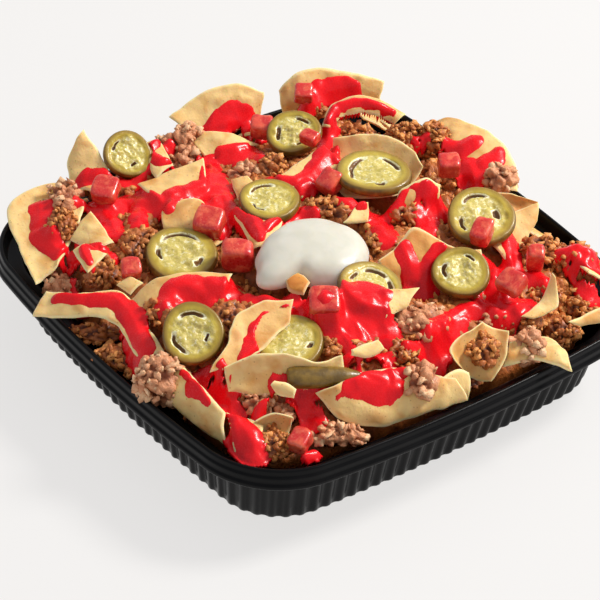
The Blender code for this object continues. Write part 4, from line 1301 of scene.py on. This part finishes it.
BEAN_MOUNDS = (
    (-82, -68, 7, 8, 6), (-48, -91, 7, 8, 6), (-91, -9, 7, 7, 14), (-88, -1, 8, 7, 10), (30, -95, 11, 9, 14),
    (66, 4, 11, 9, 5), (92, -17, 7, 8, 6), (23, 78, 6, 5, 3), (96, 33, 8, 6, 8), (75, 33, 6, 5, 4),
    (-53, 3, 7, 5, 4), (-80, -8, 6, 6, 7), (12, 88, 7, 6, 7),
)
# These lie lower, on the core, under or in front of the chips' front edges.
LOW_MINCE = (
    (-16, -93, 14, 6, 5), (4, -95, 12, 6, 7), (16, -93, 8, 6, 7), (80, -76, 6, 7, 6), (72, -78, 6, 7, 6),
    (88, 12, 6, 7, 4), (43, -88, 8, 6, 6),
)
LOW_BEANS = ((86, -57, 9, 6, 6), (91, -50, 6, 5, 5), (62, -72, 5, 6, 6), (68, -65, 6, 6, 6))

# %% A lumpy body

BODY_RINGS, BODY_SIDES = 30, 54


def packed_balls(points, size, seed):
    """How far the surface stands out, as a share of the size, over balls packed in space. It
    is packed_lumps with a third axis: the best of the 27 balls nearby counts."""
    cell = points / size
    low = np.floor(cell).astype(int)
    table = np.random.default_rng(seed).uniform(0.0, 1.0, (32, 32, 32, 4))
    best = np.zeros(cell.shape[:-1])
    for step in itertools.product((-1, 0, 1), repeat=3):
        ball = low + step
        at = ball % 32
        drawn = table[at[..., 0], at[..., 1], at[..., 2]]
        off = ((cell - ball - drawn[..., :3]) ** 2).sum(axis=-1)
        radius = 0.5 + 0.35 * drawn[..., 3]
        best = np.maximum(best, np.sqrt(np.clip(radius**2 - off, 0.0, None)))
    return best


def body_point(mound, ground, directions):
    """Points on a mound's ellipsoid and the outward normals there. Its top stands the rise
    over the ground, and it reaches somewhat below the ground."""
    x, y, half_right, half_front, rise = mound
    half_up = 0.7 * rise + 2.0
    middle = np.array([x, y, read_map(ground, x, y) + rise - half_up])
    axes = np.stack([RIGHT, FRONT, UP])
    half = np.array([half_right, half_front, half_up])
    return middle + (directions * half) @ axes, unit((directions / half) @ axes)


def make_mounds(name, mounds, material, size, seed):
    """All mounds of one food as one piece. Each mound comes with the ground that it lies on
    and the ceiling that it stays under. Returns every point of them."""
    rest, grounds = mounds, {id(bed): smoothed(bed, 2.5), id(core_map): smoothed(core_map, 2.5)}
    all_points, all_faces, all_depths, caps = [], [], [], []
    directions = sphere_directions(BODY_RINGS, BODY_SIDES)
    faces = tube_faces(BODY_RINGS, BODY_SIDES)[:, ::-1]
    for mound, ground, limit in rest:
        points, normals = body_point(mound, grounds[id(ground)], directions)
        shape = 1.4 * noise(points, 7.0, seed) + 0.45 * noise(points, 1.6, seed + 3)
        lumps = size * packed_balls(points, size, seed + 1)
        lumps = lumps + 0.5 * size * packed_balls(points, 0.55 * size, seed + 2)
        points = points + (shape + lumps - 0.75 * size)[..., None] * normals
        points[..., 2] = np.clip(points[..., 2], HEAP_FOOT, read_map(limit, points[..., 0], points[..., 1]))
        first = sum(len(part) for part in all_points)
        all_points.append(points.reshape(-1, 3))
        # Painted shade: points low between the lumps are painted darker.
        all_depths.append(np.clip(1.25 - lumps / (0.72 * size), 0.0, 1.0).ravel())
        all_faces.append(faces + first)
        ring = first + np.arange(BODY_SIDES)
        caps += [ring, ring[::-1] + (BODY_RINGS - 1) * BODY_SIDES]
    points, depth = np.concatenate(all_points), np.concatenate(all_depths)
    values = {"depth": depth, "tone": 0 * depth}
    piece = make_piece(name, points, np.concatenate(all_faces), material, values, caps=caps)
    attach(piece, "root")
    print(name, len(rest), "mounds,", len(piece.data.polygons), "faces")
    return [denser(part.reshape(BODY_RINGS, BODY_SIDES, 3), 2) for part in all_points]


mince = [(mound, bed, ceiling) for mound in MINCE_MOUNDS]
mince += [(mound, core_map, under_chips) for mound in LOW_MINCE]
beans = [(mound, bed, ceiling) for mound in BEAN_MOUNDS]
beans += [(mound, core_map, under_chips) for mound in LOW_BEANS]
ground = bed
for points in make_mounds("mince_mounds", mince, cooked_mince, 2.6, 330):
    ground = raised(ground, points)
for points in make_mounds("bean_mounds", beans, mashed_beans, 3.6, 340):
    ground = raised(ground, points)

# %% [markdown]
# ## Loose crumbs
#
# On the mounds and on the bare core lie loose crumbs, which give the food its rough outline.
# There are thousands, so each is only a cube with its sides cut in four, pushed out to a lumpy
# ball. Each has its own place, size, turn and lumps, all drawn at once as arrays.

# %% Crumbs


def cut_cube():
    """The 26 outer points of a 3 x 3 x 3 lattice as directions, and the 24 faces on them."""
    lattice = [point for point in itertools.product((-1, 0, 1), repeat=3) if any(point)]
    place = {point: number for number, point in enumerate(lattice)}
    faces = []
    for axis, side, i, j in itertools.product(range(3), (-1, 1), (-1, 0), (-1, 0)):
        corners = [(i, j), (i + 1, j), (i + 1, j + 1), (i, j + 1)][::side]
        faces.append([place[tuple(np.roll((side, a, b), axis))] for a, b in corners])
    return unit(np.array(lattice, float)), np.array(faces)


def random_turns(draw, count):
    """Random rotation matrices, from random quaternions of length one."""
    a, b, c, d = unit(draw.normal(size=(count, 4))).T
    rows = [
        [a * a + b * b - c * c - d * d, 2 * (b * c - a * d), 2 * (b * d + a * c)],
        [2 * (b * c + a * d), a * a - b * b + c * c - d * d, 2 * (c * d - a * b)],
        [2 * (b * d - a * c), 2 * (c * d + a * b), a * a - b * b - c * c + d * d],
    ]
    return np.moveaxis(np.array(rows), -1, 0)


def places_on_mounds(mounds, every, draw):
    """Random places on the upper sides of mounds, one for each so many square millimetres."""
    places = []
    for mound, ground, limit in mounds:
        area = 4.0 * math.pi * ((mound[2] + mound[3] + mound[4]) / 3.0) ** 2
        directions = unit(draw.normal(size=(int(area / every), 3)))
        points, normals = body_point(mound, smoothed(ground, 2.5), directions[directions[:, 2] > -0.25])
        places.append(points + draw.uniform(-0.6, 0.9, (len(points), 1)) * normals)
    return np.concatenate(places)


def places_on_map(ground, wanted, spacing, draw):
    """Places on a shaken lattice over the map, wherever the wanted map is true."""
    line = np.arange(-104.0, 104.0, spacing)
    shifts = (draw.uniform(-0.5, 0.5, line.size**2) * spacing for axis in range(2))
    x, y = (grid.ravel() + shift for grid, shift in zip(np.meshgrid(line, line), shifts))
    keep = read_map(wanted.astype(float), x, y) > 0.5
    return np.stack([x, y, read_map(ground, x, y)], axis=1)[keep]


def make_crumbs(name, places, smallest, largest, material, draw):
    """A crumb at each place: the cut cube stretched along its own axes, each corner pushed in
    or out, turned at random. Crumbs under the sauce or in a slice are left out."""
    size = draw.uniform(smallest, largest, len(places))
    keep = read_map(film, places[:, 0], places[:, 1]) < -0.05
    keep &= places[:, 2] + 0.5 * size < read_map(ceiling, places[:, 0], places[:, 1])
    keep &= places[:, 2] > HEAP_FOOT
    places, size = places[keep], size[keep]
    directions, faces = cut_cube()
    stretch = draw.uniform(0.5, 1.35, (len(places), 1, 3))
    lumpy = directions * draw.uniform(0.45, 1.35, (len(places), len(directions), 1)) * stretch
    lumpy = np.einsum("nij,nvj->nvi", random_turns(draw, len(places)), lumpy)
    points = places[:, None, :] + 0.5 * size[:, None, None] * lumpy
    faces = (faces[None] + len(directions) * np.arange(len(places))[:, None, None]).reshape(-1, 4)
    tone = np.repeat(draw.uniform(0.0, 1.0, len(places)), len(directions))
    # Painted shade: the lower side of each crumb is painted darker.
    low = np.clip(0.5 - 1.1 * lumpy[..., 2], 0.0, 1.0).ravel()
    points = points.reshape(-1, 3)
    crumbs = make_piece(name, points, outward(points, faces), material, {"depth": 0.6 * low, "tone": tone})
    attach(crumbs, "root")
    print(name, len(places), "crumbs")
    return points


# The sauce spreads a little past its ribbons, and draws back by a share of a step over 2.4 mm.
SPREAD_MORE, DRAW_BACK, HARMLESS_STEP = 0.06, 0.24, 2.4

ground = raised(ground, denser(slice_faces[SAUCED_SLICE]))
flat = np.stack([map_x, map_y, 0 * map_x], axis=-1)
film = ribbon_share(map_x, map_y, RIBBONS) + 0.16 * noise(flat, 5.0, 400) + 0.08 * noise(flat, 2.4, 401)
# The sauce draws back a little from both sides of a free edge.
steepness = np.abs(smoothed(ground, 2.0) - ground)
film = film + SPREAD_MORE - DRAW_BACK * np.clip(steepness - HARMLESS_STEP, 0.0, 6.0)
bare = (core_map > ground - 0.2) & (core_map > HEAP_FOOT + 1.0)
draw = np.random.default_rng(350)
places = np.concatenate([places_on_mounds(mince, 5.5, draw), places_on_map(core_map, bare, 3.6, draw)])
ground = raised(ground, make_crumbs("mince_crumbs", places, 1.4, 3.8, cooked_mince, draw))
places = places_on_mounds(beans, 16.0, draw)
ground = raised(ground, make_crumbs("bean_lumps", places, 1.8, 4.6, mashed_beans, draw))

# %% [markdown]
# ## The film of sauce
#
# The film is thickest along the ribbons, smooths over what it covers, and sinks into the
# ground at its edge, as a wetting liquid does.

# %% The film


def layer_piece(name, shown, top, bottom, material):
    """A closed piece from two height maps: those squares of the map where all four corners
    are shown, above and below, and a wall along every edge that only one square has."""
    index = np.arange(shown.size).reshape(shown.shape)
    squares = grid_faces(*shown.shape)
    squares = squares[shown.ravel()[squares].all(axis=1)]
    edges = np.concatenate([squares[:, [corner, (corner + 1) % 4]] for corner in range(4)])
    forward = edges[:, 0] * shown.size + edges[:, 1]
    backward = edges[:, 1] * shown.size + edges[:, 0]
    border = edges[~np.isin(forward, backward)]
    used = np.unique(squares)
    place = np.full(shown.size, -1)
    place[used] = np.arange(len(used))
    squares, border = place[squares], place[border]
    walls = np.stack([border[:, 1], border[:, 0], border[:, 0] + len(used), border[:, 1] + len(used)], axis=1)
    faces = np.concatenate([squares, squares[:, ::-1] + len(used), walls])
    flat = [grid.ravel()[used] for grid in (map_x, map_y)]
    points = np.concatenate([np.stack([*flat, grid.ravel()[used]], axis=1) for grid in (top, bottom)])
    return make_piece(name, points, outward(points, faces), material)


def bridged(ground):
    """The map with its steps turned into slopes: on the low side of a step it stands up to
    half as high, and it falls from there over a few millimetres."""
    return smoothed(np.maximum(ground, smoothed(ground, 3.0)), 0.9)


FILM_THICK = 2.4
FILM_DEPTH = 1.6
FILM_EDGE = -0.4
CLIMB = 2.5
SUNK_DIE = 11

sauced = ground
for points in tomato_tops:
    sauced = raised(sauced, points)
# The dice stand out of the film, which climbs them a little. Only one lies under it.
sauced = raised(np.minimum(sauced, ground + CLIMB), tomato_tops[SUNK_DIE - 1])
thickness = FILM_THICK * (np.sqrt(np.clip(film + 0.15, 0.0, 1.3)) - 0.39)
film_top = np.minimum(np.maximum(bridged(sauced) + thickness, HEAP_FOOT), ceiling)

red_sauce, shader, place = start_material("red_sauce")
pooled = place.noise(11.0, 3.0, 0.8)
speckle = place.noise(0.7, 2.0)
set_shader(
    shader,
    Base_Color=blend(pooled.ease(0.45, 0.75), srgb(236, 22, 30), srgb(208, 14, 27)),
    Roughness=0.22 + 0.1 * speckle,
    Specular_IOR_Level=0.2,
    Coat_Weight=0.14,
    Coat_Roughness=0.1,
    Subsurface_Weight=0.2,
    Subsurface_Radius=(1.0, 0.12, 0.06),
    Subsurface_Scale=0.002,
    Normal=bump(speckle + 2.0 * pooled, 0.25, 0.3),
)
film_bottom = np.maximum(film_top - FILM_DEPTH, HEAP_FOOT - 1.0)
sauce = layer_piece("red_sauce_film", film > FILM_EDGE, film_top, film_bottom, red_sauce)
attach(sauce, "root")
print("sauce:", len(sauce.data.polygons), "faces")

# %% [markdown]
# ## Table, light and camera
#
# The dish stands on a plain pale table. One large soft light stands to the right and a little
# behind, so that the shadow falls to the left and towards the viewer, and the bright surround
# fills in the rest.

# %% The table

pale_table, shader, place = start_material("pale_table")
faint = place.noise(300.0, 2.0)
set_shader(
    shader,
    Base_Color=blend(faint, srgb(114, 113, 112), srgb(112, 111, 110)),
    Roughness=0.9,
    Specular_IOR_Level=0.1,
    Emission_Color=srgb(246, 244, 242),
    Emission_Strength=0.767,
)
TABLE_HALF = 3000.0
table_points = TABLE_HALF * np.array([[-1, -1, 0], [1, -1, 0], [1, 1, 0], [-1, 1, 0]], float)
table = make_piece("table", table_points, np.array([[0, 1, 2, 3]]), pale_table, smooth=False)

# %% The lights

scene = bpy.context.scene
surround = bpy.data.worlds.new("surround")
surround.use_nodes = True
surround.node_tree.nodes["Background"].inputs["Color"].default_value = srgb(246, 248, 255)
surround.node_tree.nodes["Background"].inputs["Strength"].default_value = 0.55
scene.world = surround


def area_light(name, direction, distance, size, power, tint):
    """A square light that shines on the dish from that direction."""
    lamp = bpy.data.lights.new(name, "AREA")
    lamp.size, lamp.energy, lamp.color = size * MILLIMETRE, power, tint
    holder = bpy.data.objects.new(name, lamp)
    scene.collection.objects.link(holder)
    position = unit(np.array(direction)) * distance
    holder.matrix_world = np.eye(4)
    back = unit(position)
    across = unit(np.cross(UP, back))
    holder.matrix_world = np.column_stack([
        [*across, 0], [*np.cross(back, across), 0], [*back, 0], [*(position * MILLIMETRE), 1],
    ]).T
    return holder


area_light("key_light", 0.93 * RIGHT - 0.32 * FRONT + 1.05 * UP, 1600.0, 420.0, 30.0, (1.0, 0.97, 0.93))

# %% The camera
# It stands a little over a metre away and looks down at the dish over its front corner,
# leaning slightly to one side.

AZIMUTH, ELEVATION, ROLL = (math.radians(angle) for angle in (52.0, 36.84, 2.5))
TARGET, DISTANCE, FOCAL = np.array([7.4, -11.7, 30.0]), 1198.5, 176.8
level = np.array([math.sin(AZIMUTH), -math.cos(AZIMUTH), 0.0])
back = math.cos(ELEVATION) * level + math.sin(ELEVATION) * UP
level = np.array([math.cos(AZIMUTH), math.sin(AZIMUTH), 0.0])
rising = np.cross(back, level)
right = math.cos(ROLL) * level + math.sin(ROLL) * rising
upward = -math.sin(ROLL) * level + math.cos(ROLL) * rising
camera_data = bpy.data.cameras.new("camera")
camera_data.sensor_width, camera_data.lens = 36.0, FOCAL
camera = bpy.data.objects.new("camera", camera_data)
scene.collection.objects.link(camera)
place = (TARGET + DISTANCE * back) * MILLIMETRE
camera.matrix_world = np.column_stack([[*right, 0], [*upward, 0], [*back, 0], [*place, 1]]).T
scene.camera = camera
scene.view_settings.view_transform = "Standard"
